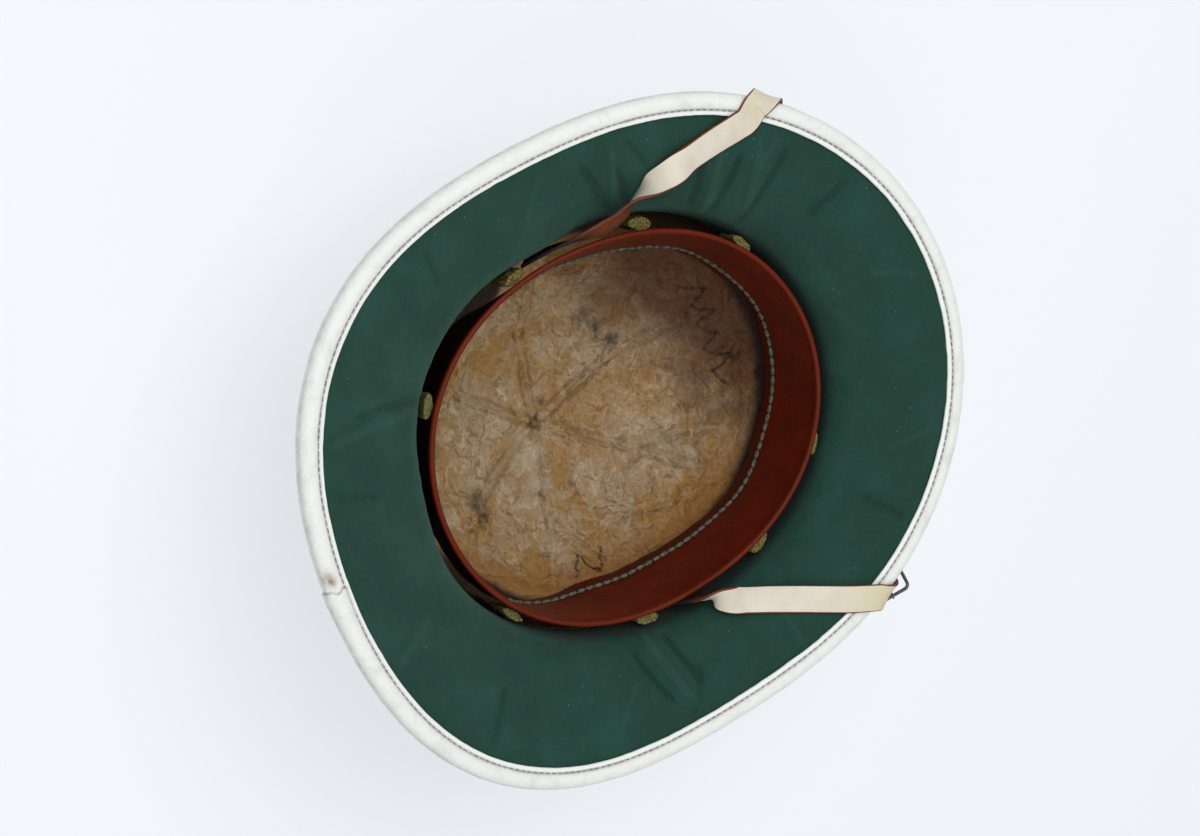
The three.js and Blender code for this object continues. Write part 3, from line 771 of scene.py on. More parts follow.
def seam_stitches(seams, material):
    """Two rows of small stitches beside each gore seam."""
    at, along, up = [], [], []
    for seam in seams:
        for side in (-1, 1):
            base = math.radians(seam)
            r, z = outer_skin(base)
            r, z, _ = even(r, z, 400)
            a = base + side * 2.7 / np.maximum(r, 20)
            line = place(a, r, z)[0]
            run = np.concatenate([[0], np.cumsum(np.linalg.norm(np.diff(line, axis=0), axis=1))])
            for d in np.arange(24 * MM, run[-1] - 3 * MM, 3.3 * MM):
                here = np.array([np.interp(d, run, line[:, k]) for k in range(3)])
                ahead = np.array([np.interp(d + MM, run, line[:, k]) for k in range(3)])
                direction = (ahead - here) / np.linalg.norm(ahead - here)
                across = np.array([math.cos(base), math.sin(base), 0])
                normal = np.cross(across, direction)
                at.append(here + normal * 0.12 * MM)
                along.append(direction)
                up.append(normal)
    piece = beads("cover_stitches", np.array(at), np.array(along), np.array(up), 2.3, 0.5, 0.4)
    return own(piece, "cover_cloth", material=material)


def crown_button(material):
    """A cloth covered button: flat foot, rounded side, gathered cloth."""
    foot, top = 14.0, 9.3
    profile = [(0, 0), (6, 0), (foot - 1, 0), (foot, 0.02), (15.3, 0.5), (16.4, 1.6), (17.0, 3.2),
               (17.0, 4.8), (16.6, 6.4), (16.0, 8.0), (15.6, top), (8, top), (0, top)]
    line = np.array(profile)
    s = np.concatenate([[0], np.cumsum(np.hypot(*np.diff(line, axis=0).T))])
    at = np.linspace(0, s[-1], 44)
    r, z = np.interp(at, s, line[:, 0]), np.interp(at, s, line[:, 1])
    a = np.radians(np.arange(0, 360, 4.0))
    side = smooth_step(z, 0.6, 3.0) * smooth_step(top - z, 0.2, 2.5)
    pleat = 0.22 * np.cos(18 * a)[:, None] * side[None, :]
    points = place(a[:, None], r[None, :] + pleat, z[None, :] - RIM_HEIGHT)
    piece = ring_mesh("button", points, a, poles=True)
    set_attribute(piece, "seam", np.zeros(len(piece.data.vertices)))
    outward_faces(piece)
    return own(piece, "cover_cloth", "crown_button", material=material)


# ------------------------------------------------------------------ green lining
# Where the cloth was pulled hardest, in degrees, and how many long folds it has there.
FOLD_GROUPS = ((75, 3), (45, 5), (-105, 3), (150, 2))
FOLD_SPACING = 4.0
BINDING_GATHERS = 15


def lining_folds():
    """Long folds in groups, then short gathers at the binding all the way round."""
    draw = np.random.default_rng(5).uniform
    folds = []
    for centre, count in FOLD_GROUPS:
        for n in range(count):
            folds.append(dict(angle=centre + FOLD_SPACING * (n - (count - 1) / 2) + draw(-0.6, 0.6),
                              shift=draw(2, 10), width=draw(1.6, 3.6), start=draw(-0.15, 0.1),
                              end=draw(0.7, 1.05), height=(-1) ** (n + 1) * draw(0.6, 0.9)))
    for n in range(BINDING_GATHERS):
        folds.append(dict(angle=n * 360 / BINDING_GATHERS + draw(-7, 7), shift=draw(-8, 8),
                          width=draw(2.8, 3.6), start=draw(0.3, 0.5), end=draw(0.9, 1.05),
                          height=(-1) ** n * 0.5))
    return folds


def fold_height(a, share, r):
    total = np.zeros_like(r)
    for fold in lining_folds():
        middle = (fold["start"] + fold["end"]) / 2
        span = fold["end"] - fold["start"]
        centre = np.radians(fold["angle"] + fold["shift"] * (share - middle) / span)
        off = wrapped(a[:, None] - centre) * r / (0.85 * fold["width"])
        ends = smooth_step(share, fold["start"], fold["start"] + 0.2 * span)
        ends = ends * smooth_step(fold["end"] - share, 0, 0.25 * span)
        shape = np.exp(-np.abs(off) ** 1.5)
        total = total + 1.5 * fold["height"] * shape * ends
    return total


def green_lining(material):
    """Cotton drawn over the brim's underside and turned into the opening."""
    a = angles(560)
    r, z = face(a)
    r, z, s = even(r, z, 62, low=LINING_TURN_IN)
    opening = opening_radius(a)[:, None]
    brim = around(OUTLINES["brim"], a)[:, None]
    share = (r - opening) / (brim - opening)
    top = place(a[:, None], r, z)
    loose = smooth_step(share, -0.02, 0.12) * smooth_step(1.06 - share, 0.0, 0.08)
    small = field(np.stack([np.cos(a)[:, None] * 130 + 0 * r, np.sin(a)[:, None] * 130 + 0 * r,
                            r * 0.12], axis=-1) * MM, 5.0, 2, 3.0)
    gather = 0.4 * small * (1.5 * smooth_step(0.30 - share, 0, 0.3) + 0.35 * smooth_step(share, 0.8, 1.0))
    broad = 0.5 * field(top, 40, 2, 1.0) + 0.22 * field(top, 14, 2, 6.0)
    folds = fold_height(a, share, r)
    height = not_below((folds + gather + broad) * loose, -0.6)
    tucked = np.concatenate([r, edge_points(a, 4.3, 0.0)[0]], axis=1)
    tucked_z = np.concatenate([z, edge_points(a, 4.3, 0.0)[1]], axis=1)
    up = normals(top)
    up = up * np.where(up[:, -5:-4, 2:] > 0, 1, -1)
    shaped = top + up * (height[..., None] * MM)
    under_r, under_z = offset(tucked, tucked_z, CLOTH)
    end = place(a[:, None], tucked[:, -1:], tucked_z[:, -1:])
    back = place(a[:, None], under_r[:, ::4], under_z[:, ::4])[:, ::-1]
    points = np.concatenate([shaped, end, back], axis=1)
    piece = ring_mesh("green_lining", points, a)
    # The fold heights, which the cloth's material turns into painted shade in the valleys and painted
    # highlight on the crests.
    values = np.zeros(points.shape[:2])
    values[:, :62] = (folds + 0.6 * gather) * loose
    set_attribute(piece, "fold", values)
    # Painted shade: near black on the hidden back and wherever the cloth turns down into the opening.
    gap_shade = np.ones(points.shape[:2])
    gap_shade[:, :62] = smooth_step(-z, 1.5, 9.0)
    set_attribute(piece, "gap_shade", gap_shade)
    outward_faces(piece)
    own(piece, "green_cloth", "brim_lining", material=material)
    return piece


# ------------------------------------------------------------------ paper lining
# Rows of smudges on the crown lining, in mm right and forward of the crown's middle.
SMUDGE_ROWS = (
    dict(middle=(20, 40), step=(-8, 5), count=3, radius=5.5),
    dict(middle=(-30, -50), step=(-8, 0), count=2, radius=5.5),
    dict(middle=(-5, 0), step=(-7, -7), count=2, radius=3.0),
)
# Patches of painted highlight, where the light is reflected in the varnish, in mm right and forward of
# the crown's middle.
GLINT_PATCHES = (dict(right=-20, forward=-15, radius=13), dict(right=-35, forward=-15, radius=9))
FOLD_HUB = (-10, -5)                # where the paper's long folds meet, right and forward in mm
HUB_FOLDS = dict(count=6, turned=20, bend=45, reach=88)
# Zigzags of black cracks: the wall's radius and how far they swing about it, in mm.
CRACK_RUNS = (dict(first=-18, last=18, radius=85, swing=4.5, steps=9),
              dict(first=-110, last=-95, radius=76, swing=4.0, steps=3))


def smudge_marks():
    for row in SMUDGE_ROWS:
        for n in range(row["count"]):
            share = n - (row["count"] - 1) / 2
            yield (row["middle"][0] + share * row["step"][0],
                   row["middle"][1] + share * row["step"][1], row["radius"])


def paper_folds():
    """Folds that run out from the hub and fork on their way up the wall."""
    draw = np.random.default_rng(8).uniform
    for n in range(HUB_FOLDS["count"]):
        turn = math.radians(HUB_FOLDS["turned"] + n * 360 / HUB_FOLDS["count"] + draw(-9, 9))
        bend = (FOLD_HUB[0] + HUB_FOLDS["bend"] * math.sin(turn),
                FOLD_HUB[1] + HUB_FOLDS["bend"] * math.cos(turn))
        yield dict(x0=FOLD_HUB[0], y0=FOLD_HUB[1], x1=bend[0], y1=bend[1], high=draw(0.8, 1.1))
        for side in (-1, 1):
            end = turn + side * math.radians(draw(6, 20))
            yield dict(x0=bend[0], y0=bend[1], x1=HUB_FOLDS["reach"] * math.sin(end),
                       y1=HUB_FOLDS["reach"] * math.cos(end), high=draw(0.6, 0.8))


def cracks():
    draw = np.random.default_rng(3).uniform
    for run in CRACK_RUNS:
        turns = np.radians(np.linspace(run["first"], run["last"], run["steps"] + 1))
        reach = [run["radius"] + (-1) ** n * run["swing"] * draw(0.5, 1.3)
                 for n in range(len(turns))]
        for n in range(run["steps"]):
            yield dict(x0=reach[n] * math.sin(turns[n]), y0=reach[n] * math.cos(turns[n]),
                       x1=reach[n + 1] * math.sin(turns[n + 1]),
                       y1=reach[n + 1] * math.cos(turns[n + 1]))


# The painted shade on the paper behind the band reaches deepest round this angle.
OPEN_SLOT_AT = 139.0                # degrees: where the slot behind the band lets one look deepest


def segment_distance(x, y, row):
    dx, dy = row["x1"] - row["x0"], row["y1"] - row["y0"]
    t = np.clip(((x - row["x0"]) * dx + (y - row["y0"]) * dy) / (dx * dx + dy * dy), 0, 1)
    return np.hypot(x - row["x0"] - t * dx, y - row["y0"] - t * dy), t


def paper_lining(material):
    """Varnished paper, crumpled as it was pressed into the crown."""
    a = angles(500)
    r, z = face(a)
    r, z, s = even(r, z, 148, high=PAPER_EDGE)
    r[:, 0] = 0
    top = place(a[:, None], r, z)
    right = r * np.sin(a)[:, None]
    forward = r * np.cos(a)[:, None]
    warp = np.stack([field(top, 22, 2, 11.0), field(top, 22, 2, 23.0), field(top, 22, 2, 37.0)],
                    axis=-1)
    bent = top + warp * 7 * MM
    sway = field(top, 30, 2, 61.0)
    big = creases(top + warp * 3 * MM, 34, 2.0, 0.16) * (0.55 + 0.9 * sway)
    middle = creases(top + warp * 4 * MM, 16, 7.0, 0.22) * (0.2 + 1.1 * field(top, 18, 2, 9.0))
    fine = creases(bent, 6.5, 15.0, 0.3) * (0.5 + 0.9 * field(top, 12, 2, 17.0))
    tiny = ridges(bent, 3.4, 2, 31.0)
    crease = 0.9 * big + 0.75 * middle + 0.42 * fine + 0.16 * tiny
    wobble_x = right + 1.5 * field(top, 20, 2, 41.0)
    wobble_y = forward + 1.5 * field(top, 20, 2, 47.0)
    lines = np.zeros_like(r)
    for row in paper_folds():
        off, t = segment_distance(wobble_x, wobble_y, row)
        tent = np.exp(-np.abs(off) / 1.1) - 0.5 * np.exp(-((off - 2.2) / 1.5) ** 2)
        lines = lines + row["high"] * tent * (0.4 + 0.6 * np.sin(math.pi * np.clip(t, 0.05, 0.95)))
    crack = np.zeros_like(r)
    for row in cracks():
        off, _ = segment_distance(right + 1.9 * field(top, 7, 3, 53.0),
                                  forward + 1.9 * field(top, 7, 3, 59.0), row)
        crack = np.maximum(crack, np.exp(-(off / 0.42) ** 2))
    height = 1.0 * crease + 1.9 * lines + 1.5 * field(top, 24, 4, 67.0) - 0.8 * crack
    wall = smooth_step(-z, 24, 60)
    height = not_below((height - 0.2) * (0.35 + 0.65 * wall), -0.7)
    height *= smooth_step(s[:, -1:] - s, 0.0, 4.0)
    up = normals(top)
    up = up * np.where(up[:, 40:41, 2:] > 0, 1, -1)
    up[:, 0] = (0, 0, 1)
    height[:, 0] = height[:, 1].mean()
    shaped = top + up * (height[..., None] * MM)
    back_r, back_z = offset(r[:, ::3], z[:, ::3], PAPER + 0.3)
    back_r[:, 0] = 0
    back_z[:, 0] = -CROWN_DEPTH - PAPER - 0.3
    points = np.concatenate([shaped, place(a[:, None], back_r, back_z)[:, ::-1]], axis=1)
    piece = ring_mesh("paper_lining", points, a, poles=True)
    smudge = np.zeros_like(r)
    for mark_right, mark_forward, radius in smudge_marks():
        off = np.hypot(right - mark_right, forward - mark_forward)
        off = off + 1.6 * field(top, 4.0, 3, 71.0)
        smudge = np.maximum(smudge, smooth_step(radius * 1.4 - off, 0, 1.6 * radius))
    low_left = smooth_step(z, -74, -62) * smooth_step(-right - 0.4 * forward, 10, 50)
    # Painted highlight: pale patches where the light is reflected in the varnish.
    glint_patch = np.max([smooth_step(patch["radius"] - np.hypot(right - patch["right"],
                                                               forward - patch["forward"]), 0, 7)
                         for patch in GLINT_PATCHES], axis=0)
    glint_patch = glint_patch * (0.8 + 0.9 * field(top, 8, 4, 83.0))
    # Where the paper's material paints shade: in the hollows of the folds and creases.
    hollow_shade = np.clip(-lines, 0, 1) * 2.0 + np.clip(-0.1 - crease, 0, 1) * 2.0
    # Painted shade on the forward and right side of the crown's inside.
    shaded_side = smooth_step(forward + 0.45 * right + 14 * field(top, 24, 3, 91.0), 40, 84)
    # Painted shade on the wall behind the band, from the rim down to shaded_to, deepest round
    # OPEN_SLOT_AT.
    near = np.cos(a - math.radians(OPEN_SLOT_AT))[:, None]
    shaded_to = -50 - 8 * smooth_step(near, -0.1, 0.25) - 24 * smooth_step(near, 0.5, 0.8)
    gap_shade = smooth_step(z, shaded_to - 6, shaded_to)
    named = {"crease": np.clip(0.6 * crease + 0.9 * np.clip(lines, 0, 1), 0, 1.2),
             "shaded_side": shaded_side, "gap_shade": gap_shade,
             "hollow_shade": hollow_shade, "smudge": np.clip(smudge, 0, 1), "amber": low_left,
             "pale": np.clip(glint_patch, 0, 1), "crack": np.clip(crack * 1.2, 0, 1)}
    for name, values in named.items():
        full = np.concatenate([values, np.zeros((len(a), back_r.shape[1]))], axis=1)
        set_attribute(piece, name, pole_values(full))
    outward_faces(piece)
    return own(piece, "crown_paper", "crown_lining", material=material)


# ------------------------------------------------------------------ edge binding
BINDING_STITCH = dict(inset=2.5, pitch=3.1, length=2.5, width=0.55, height=0.45)
SEAM_AT = 176.0                     # where the binding's ends overlap, in degrees
SEAM_STEP = 0.55                    # how far the upper end stands proud


def binding_profile():
    """(u, v) pairs round the binding: lip, stitch groove, rounded edge, outer lip and the inside."""
    inset, top = BINDING_STITCH["inset"], BINDING_TOP
    lip = [(0.0, GAP + 0.1), (-0.05, 0.8), (0.1, 1.15), (0.4, top)]
    flat = [(u, top - 0.38 * math.exp(-((u - inset) / 0.45) ** 2))
            for u in np.linspace(0.8, BINDING["flat"], 17)]
    arc = [(BINDING["flat"] + BINDING_RADIUS * math.sin(t), BINDING_MIDDLE + BINDING_RADIUS * math.cos(t))
           for t in np.radians(np.linspace(7, 180, 24))]
    low = [(u, BINDING_LOW) for u in np.linspace(2.5, -BINDING["outer_lip"] + 0.4, 7)]
    lip_out = [(-BINDING["outer_lip"], BINDING_LOW + 0.35),
               (-BINDING["outer_lip"], BINDING_LOW + BINDING["leather"] - 0.1)]
    inside = BINDING_RADIUS - BINDING["leather"]
    inner = [(BINDING["flat"] + inside * math.sin(t), BINDING_MIDDLE + inside * math.cos(t))
             for t in np.radians(np.linspace(180, 0, 7))]
    return np.array(lip + flat + arc + low + lip_out + inner)


def edge_binding(material):
    a = angles(520, [SEAM_AT], spread=3.0, extra=24)
    profile = binding_profile()
    count = len(profile)
    u = np.repeat(profile[None, :, 0], len(a), axis=0)
    v = np.repeat(profile[None, :, 1], len(a), axis=0)
    ring = place(a[:, None], 150.0, 20.0)
    lip_wave = 0.22 * field(ring, 12, 2, 1.0) + 0.12 * field(ring, 4, 2, 3.0)
    on_lip = np.exp(-((profile[:, 0]) / 0.6) ** 2) * (profile[:, 1] > 0)
    u = u + lip_wave * on_lip[None, :]
    r, z = edge_points_grid(a, u, v)
    points = place(a[:, None], r, z)
    up = normals(points, closed=True)
    middle_r, middle_z = edge_points(a, BINDING["flat"], BINDING_MIDDLE)
    middle = place(a[:, None], middle_r, middle_z)
    outwards = np.sign(((points[:, 22:40] - middle) * up[:, 22:40]).sum(axis=2).mean())
    up = up * outwards
    outer = np.zeros(count)
    outer[4:count - 9] = 1
    rough = 0.16 * field(points, 9, 3, 5.0) + 0.06 * field(points, 2.6, 2, 8.0)
    jag = 0.55 * np.sin(profile[:, 0] * 1.1 + 1) + 0.3 * np.sin(profile[:, 1] * 2.3)
    off = np.degrees(wrapped(a - math.radians(SEAM_AT)))[:, None] - jag[None, :] * 0.35
    step = smooth_step(off, -0.10, 0.0) * smooth_step(9.0 - off, 0.0, 7.0)
    gap = np.exp(-((off + 0.12) / 0.16) ** 2)
    height = (rough + SEAM_STEP * step - 0.35 * gap) * outer[None, :]
    points = points + up * (height[..., None] * MM)
    piece = ring_mesh("binding", points, a)
    to_stitch = np.abs(profile[:, 0] - BINDING_STITCH["inset"])
    grime = np.exp(-(to_stitch / 1.0) ** 2) * (profile[:, 1] > 0)
    far = np.exp(-((profile[:, 1] - BINDING_MIDDLE) / 1.6) ** 2) * (profile[:, 0] > 6)
    grime = np.clip(0.75 * grime + 0.55 * far, 0, 1)
    set_attribute(piece, "grime", np.clip(grime[None, :] + gap * outer[None, :], 0, 1))
    lip = smooth_step(BINDING_STITCH["inset"] - 0.5 - profile[:, 0], 0, 0.6) * (profile[:, 1] > 0)
    lip = lip * (profile[:, 0] > -1)
    set_attribute(piece, "lip", np.repeat(lip[None, :], len(a), axis=0))
    stain = np.exp(-((off + 2.2) / 1.1) ** 2) * np.exp(-((profile[None, :, 0] - 7.5) / 2.0) ** 2)
    stain = stain * (profile[None, :, 1] > -3) * (0.7 + 0.5 * field(points, 3, 3, 9.0))
    set_attribute(piece, "stain", np.clip(stain, 0, 1))
    outward_faces(piece)
    return own(piece, "white_leather", "edge_binding", material=material)


def edge_points_grid(a, u, v):
    origin, out, up = edge_axes(a)
    r = origin[:, :1] + out[:, :1] * u + up[:, :1] * v
    z = origin[:, 1:] + out[:, 1:] * u + up[:, 1:] * v
    return r, z


def ring_stations(a, r, z, pitch):
    """Even stations along a line round the helmet: where, which way on."""
    line = place(a, r, z)
    line = np.concatenate([line, line[:1]])
    run = np.concatenate([[0], np.cumsum(np.linalg.norm(np.diff(line, axis=0), axis=1))])
    count = int(run[-1] / (pitch * MM))
    d = np.arange(count) * run[-1] / count
    at = np.stack([np.interp(d, run, line[:, k]) for k in range(3)], axis=1)
    ahead = np.stack([np.interp((d + MM) % run[-1], run, line[:, k]) for k in range(3)], axis=1)
    along = (ahead - at) / np.linalg.norm(ahead - at, axis=1, keepdims=True)
    where = np.interp(d, run, np.append(a, a[0] + 2 * math.pi))
    return at, along, where


def binding_stitches(material):
    a = angles(720)
    inset = BINDING_STITCH["inset"]
    r, z = edge_points(a, inset, BINDING_TOP - 0.12)
    at, along, where = ring_stations(a, r[:, 0], z[:, 0], BINDING_STITCH["pitch"])
    _, _, up2 = edge_axes(where)
    up = np.stack([up2[:, 0] * np.sin(where), -up2[:, 0] * np.cos(where), up2[:, 1]], axis=1)
    piece = beads("binding_stitches", at, along, up, BINDING_STITCH["length"],
                  BINDING_STITCH["width"], BINDING_STITCH["height"])
    return own(piece, "white_leather", material=material)


# ------------------------------------------------------------------ sweatband
BAND_STITCH = dict(depth=37.5, pitch=4.5, length=4.4, width=2.7, height=1.9)


def band_lean(a, depth):
    """How far the band leans in at a depth below its rim, with the waves of its soft free edge."""
    edge = (BAND_LEAN["mean"] + BAND_LEAN["front"] * np.cos(a) + BAND_LEAN["right"] * np.sin(a)
            + BAND_LEAN["front_back"] * np.cos(2 * a)) - dip(UPRIGHT, a) - dip(UPRIGHT_RIGHT, a)
    wave = 1.1 * np.sin(5 * a + 3.7) + 0.8 * np.sin(8 * a - 1.0) + 0.4 * np.sin(13 * a + 3)
    share = depth / BAND["depth"]
    return edge * share + wave * share ** 2


def band_section(a, inside, depth):
    rim = around(OUTLINES["band"], a)
    return rim - band_lean(a, depth) - (BAND["leather"] if inside else 0)


def sweatband(material):
    a = angles(480)
    down = np.concatenate([np.linspace(2.2, 10, 6), np.linspace(13, BAND["depth"], 20)])
    col_r, col_z, rims, deeps = [], [], [], []
    for turn in np.radians(np.linspace(0, 180, 11)):
        bead = BAND["bead"] / 2
        col_r.append(around(OUTLINES["band"], a) - bead + bead * math.cos(turn))
        col_z.append(np.full(len(a), -bead + bead * math.sin(turn)))
        rims.append(1.0)
        deeps.append(0.0)
    for depth in down:
        pinch = 0.35 * math.exp(-((depth - 4.2) / 1.3) ** 2)
        col_r.append(band_section(a, True, depth) + pinch)
        col_z.append(np.full(len(a), -depth))
        rims.append(math.exp(-((depth - 2.2) / 1.2) ** 2))
        deeps.append(1.0 if depth > BAND_STITCH["depth"] + 0.8 else 0.0)
    col_r.append(band_section(a, True, BAND["depth"]) + BAND["leather"] / 2)
    col_z.append(np.full(len(a), -BAND["depth"] - 0.35))
    rims.append(0.0)
    deeps.append(1.0)
    for depth in down[::-3]:
        col_r.append(band_section(a, False, depth))
        col_z.append(np.full(len(a), -depth))
        rims.append(0.0)
        deeps.append(0.0)
    r, z = np.stack(col_r, axis=1), np.stack(col_z, axis=1)
    points = place(a[:, None], r, z)
    ripple = 0.35 * field(points, 22, 2, 2.0) + 0.12 * field(points, 7, 2, 4.0)
    ripple *= smooth_step(-z, 0, 20)
    edge_curl = 0.7 * field(place(a[:, None], 80.0 + 0 * r, -45.0 + 0 * r), 14, 2, 6.0)
    ripple = ripple + edge_curl * smooth_step(-z, 37, 45)
    points = points - place_direction(a)[:, None] * (ripple[..., None] * MM)
    piece = ring_mesh("leather_band", points, a)
    set_attribute(piece, "rim", np.repeat(np.array(rims)[None], len(a), axis=0))
    set_attribute(piece, "deep", np.repeat(np.array(deeps)[None], len(a), axis=0))
    # Painted shade: the band's outer face is painted near black below its rim.
    outside = np.zeros(points.shape[:2])
    outside[:, 38:] = smooth_step(-z[:, 38:], 1.0, 6.0)
    set_attribute(piece, "gap_shade", outside)
    outward_faces(piece)
    return own(piece, "brown_leather", "sweatband", material=material)


def place_direction(a):
    return np.stack([np.sin(a), -np.cos(a), 0 * a], axis=1)


def band_stitches(material):
    a = angles(720)
    depth = BAND_STITCH["depth"]
    r = band_section(a, True, depth) - 0.25
    at, along, where = ring_stations(a, r, np.full(len(a), -depth), BAND_STITCH["pitch"])
    up = -place_direction(where)
    piece = beads("band_stitches", at, along, up, BAND_STITCH["length"], BAND_STITCH["width"],
                  BAND_STITCH["height"], twist=0.9)
    return own(piece, "brown_leather", material=material)


# ------------------------------------------------------------------ corks
def corks(material):
    signed = [side * angle for angle in CORK["angles"] for side in (1, -1)]
    for number, degrees in enumerate(signed, start=1):
        a = math.radians(degrees)
        inside = around(OUTLINES["band"], a) - cad_lean(a, 5) + GAP + 0.2
        outside = opening_radius(a) - GAP - 0.9
        turn = np.radians(np.arange(0, 360, 9.0))
        height = np.linspace(0, CORK["height"], 20)
        top_round = np.clip(1 - ((height - CORK["height"] + 0.7) / 0.7).clip(0) ** 2, 0, 1) ** 0.5
        low_round = np.clip(1 - ((0.7 - height) / 0.7).clip(0) ** 2, 0, 1) ** 0.5
        size = 0.93 + 0.07 * top_round * low_round
        cap = np.linspace(0, 1, 6)[:-1]
        shares = np.concatenate([cap * size[0], size, cap[::-1] * size[-1]])
        heights = np.concatenate([np.zeros(5), height, np.full(5, CORK["height"])])
        across = np.sin(turn)[:, None] * shares * CORK["width"] / 2
        outer = np.cos(turn)[:, None] * shares * (outside - inside) / 2
        radius = (inside + outside) / 2 + outer
        z = CORK["top"] - CORK["height"] + heights + 0 * outer
        points = place(a, radius, z)
        points = points + np.array([math.cos(a), math.sin(a), 0]) * across[..., None] * MM
        up = normals(points)
        centre = points.mean(axis=(0, 1))
        if ((points - centre) * up).sum() < 0:
            up = -up
        rough = 0.35 * field(points, 2.4, 3, number) - 0.5 * ridges(points, 3.0, 6, number + 9.0)
        rough[:, 0] = rough[:, -1] = 0
        up[:, 0] = up[:, -1] = 0
        points = points + up * ((rough - 0.15)[..., None] * MM)
        piece = ring_mesh(f"cork_{number}", points, turn, poles=True)
        outward_faces(piece)
        own(piece, "cork", f"cork_spacer_{number}", material=material)


def cad_lean(a, depth):
    edge = (BAND_LEAN["mean"] + BAND_LEAN["front"] * math.cos(a) + BAND_LEAN["right"] * math.sin(a)
            + BAND_LEAN["front_back"] * math.cos(2 * a)) - dip(UPRIGHT, a) - dip(UPRIGHT_RIGHT, a)
    return edge * depth / BAND["depth"]


# ------------------------------------------------------------------ chin strap
def on_brim(right, forward, lift):
    """A station on the lined side of the brim: its middle, and the way its face looks."""
    a = math.atan2(right, forward)
    wanted = math.hypot(right, forward)
    r, z = (line[0] for line in face(a))
    r, z = r[59:], z[59:]
    height = np.interp(wanted, r, z)
    slope = (np.interp(wanted + 0.5, r, z) - np.interp(wanted - 0.5, r, z))
    along = np.array([1, slope]) / math.hypot(1, slope)
    up = np.array([-along[1] * math.sin(a), along[1] * math.cos(a), along[0]])
    return place(a, wanted, height) + up * lift * MM, up


def over_edge(degrees, turn, lift):
    a = math.radians(degrees)
    radius = BINDING_RADIUS + lift
    u, v = math.sin(math.radians(turn)), math.cos(math.radians(turn))
    r, z = edge_points(a, BINDING["flat"] + radius * u, BINDING_MIDDLE + radius * v)
    _, out, up = edge_axes(a)
    way = out[0] * u + up[0] * v
    return place(a, r[0, 0], z[0, 0]), np.array([way[0] * math.sin(a), -way[0] * math.cos(a), way[1]])


def on_crown(degrees, height, lift):
    a = math.radians(degrees)
    r, z = (line[0] for line in outer_skin(a))
    return (place(a, np.interp(height, z, r) + lift, height),
            np.array([math.sin(a), -math.cos(a), 0.0]))


def free(degrees, r, z, lean):
    a, tip = math.radians(degrees), math.radians(lean)
    up = np.array([math.sin(a) * math.cos(tip), -math.cos(a) * math.cos(tip), math.sin(tip)])
    return place(a, r, z), up


def straight(first, last):
    out = []
    for part in (0.15, 0.35, 0.6, 0.8):
        up = first[1] * (1 - part) + last[1] * part
        out.append((first[0] * (1 - part) + last[0] * part, up / np.linalg.norm(up)))
    return out


def strap_stations():
    """The strap's route, station by station, as the frame has it."""
    turns = (15, 40, 65, 90, 115, 140, 165)
    right_slot = [free(97, 84.6, -19, 0), free(90, 86.1, -9, -6), free(83, 87.8, 0.5, -22),
                  free(77, 90.4, 5.5, -32), free(73, 94.2, 9, -22), free(69.8, 101, 12, 4),
                  free(66, 107, 16, 38), free(62, 112, 16.6, 60)]
    right_brim = [on_brim(101.9, 66.2, 2.4), on_brim(103.8, 77.7, LIFT + 0.5),
                  on_brim(105.5, 88.5, LIP_LIFT + 0.2), on_brim(106.4, 93.5, LIP_LIFT + 0.3)]
    right_fold = [over_edge(EXIT["right"] - t / SLANT["right"], t, LIFT) for t in turns]
    left_fold = [over_edge(EXIT["left"] + t / SLANT["left"], t, LIFT) for t in turns[::-1]]
    front = [on_crown(FRONT["middle"] + aside * FRONT["spread"],
                      FRONT["height"] + FRONT["rise"] * aside ** 2, LIFT + 1.2)
             for aside in (1, 0.67, 0.33, 0, -0.33, -0.67, -1)]
    left_brim = [on_brim(-117.1, 63.4, LIP_LIFT + 0.2), on_brim(-112.9, 54.5, LIFT),
                 on_brim(-107.1, 42.2, LIFT), on_brim(-101.8, 30.1, LIFT + 0.3),
                 on_brim(-97.8, 20.0, 2.6)]
    left_slot = [free(-83.5, 91.2, 8.2, 64), free(-87, 87.2, 5.6, 40), free(-90, 86.4, -2, 26),
                 free(-93, 86.4, -10, 12), free(-97, 86, -19, 2)]
    return (right_slot + right_brim + right_fold + straight(right_fold[-1], front[0]) + front
            + straight(front[-1], left_fold[0]) + left_fold + left_brim + left_slot)


def catmull_rom(knots, steps, scaled):
    """A centripetal curve through knots, at even steps of its parameter."""
    out = []
    last = len(knots) - 1
    for step in range(steps + 1):
        p = last * step / steps
        i = min(int(p), last - 1)
        w = p - i
        p1, p2 = knots[i], knots[i + 1]
        p0 = knots[i - 1] if i > 0 else 2 * knots[0] - knots[1]
        p3 = knots[i + 2] if i + 2 <= last else 2 * knots[-1] - knots[-2]
        d0, d1, d2 = (max(np.linalg.norm(b - c) / scaled, 0) ** 0.5
                      for b, c in ((p0, p1), (p1, p2), (p2, p3)))
        d1 = d1 if d1 > 1e-4 else 1.0
        d0 = d0 if d0 > 1e-4 else d1
        d2 = d2 if d2 > 1e-4 else d1
        t1 = ((p1 - p0) / d0 - (p2 - p0) / (d0 + d1) + (p2 - p1) / d1) * d1
        t2 = ((p2 - p1) / d1 - (p3 - p1) / (d1 + d2) + (p3 - p2) / d2) * d1
        out.append(p1 + t1 * w + (-3 * p1 + 3 * p2 - 2 * t1 - t2) * w ** 2
                   + (2 * p1 - 2 * p2 + t1 + t2) * w ** 3)
    return np.array(out)


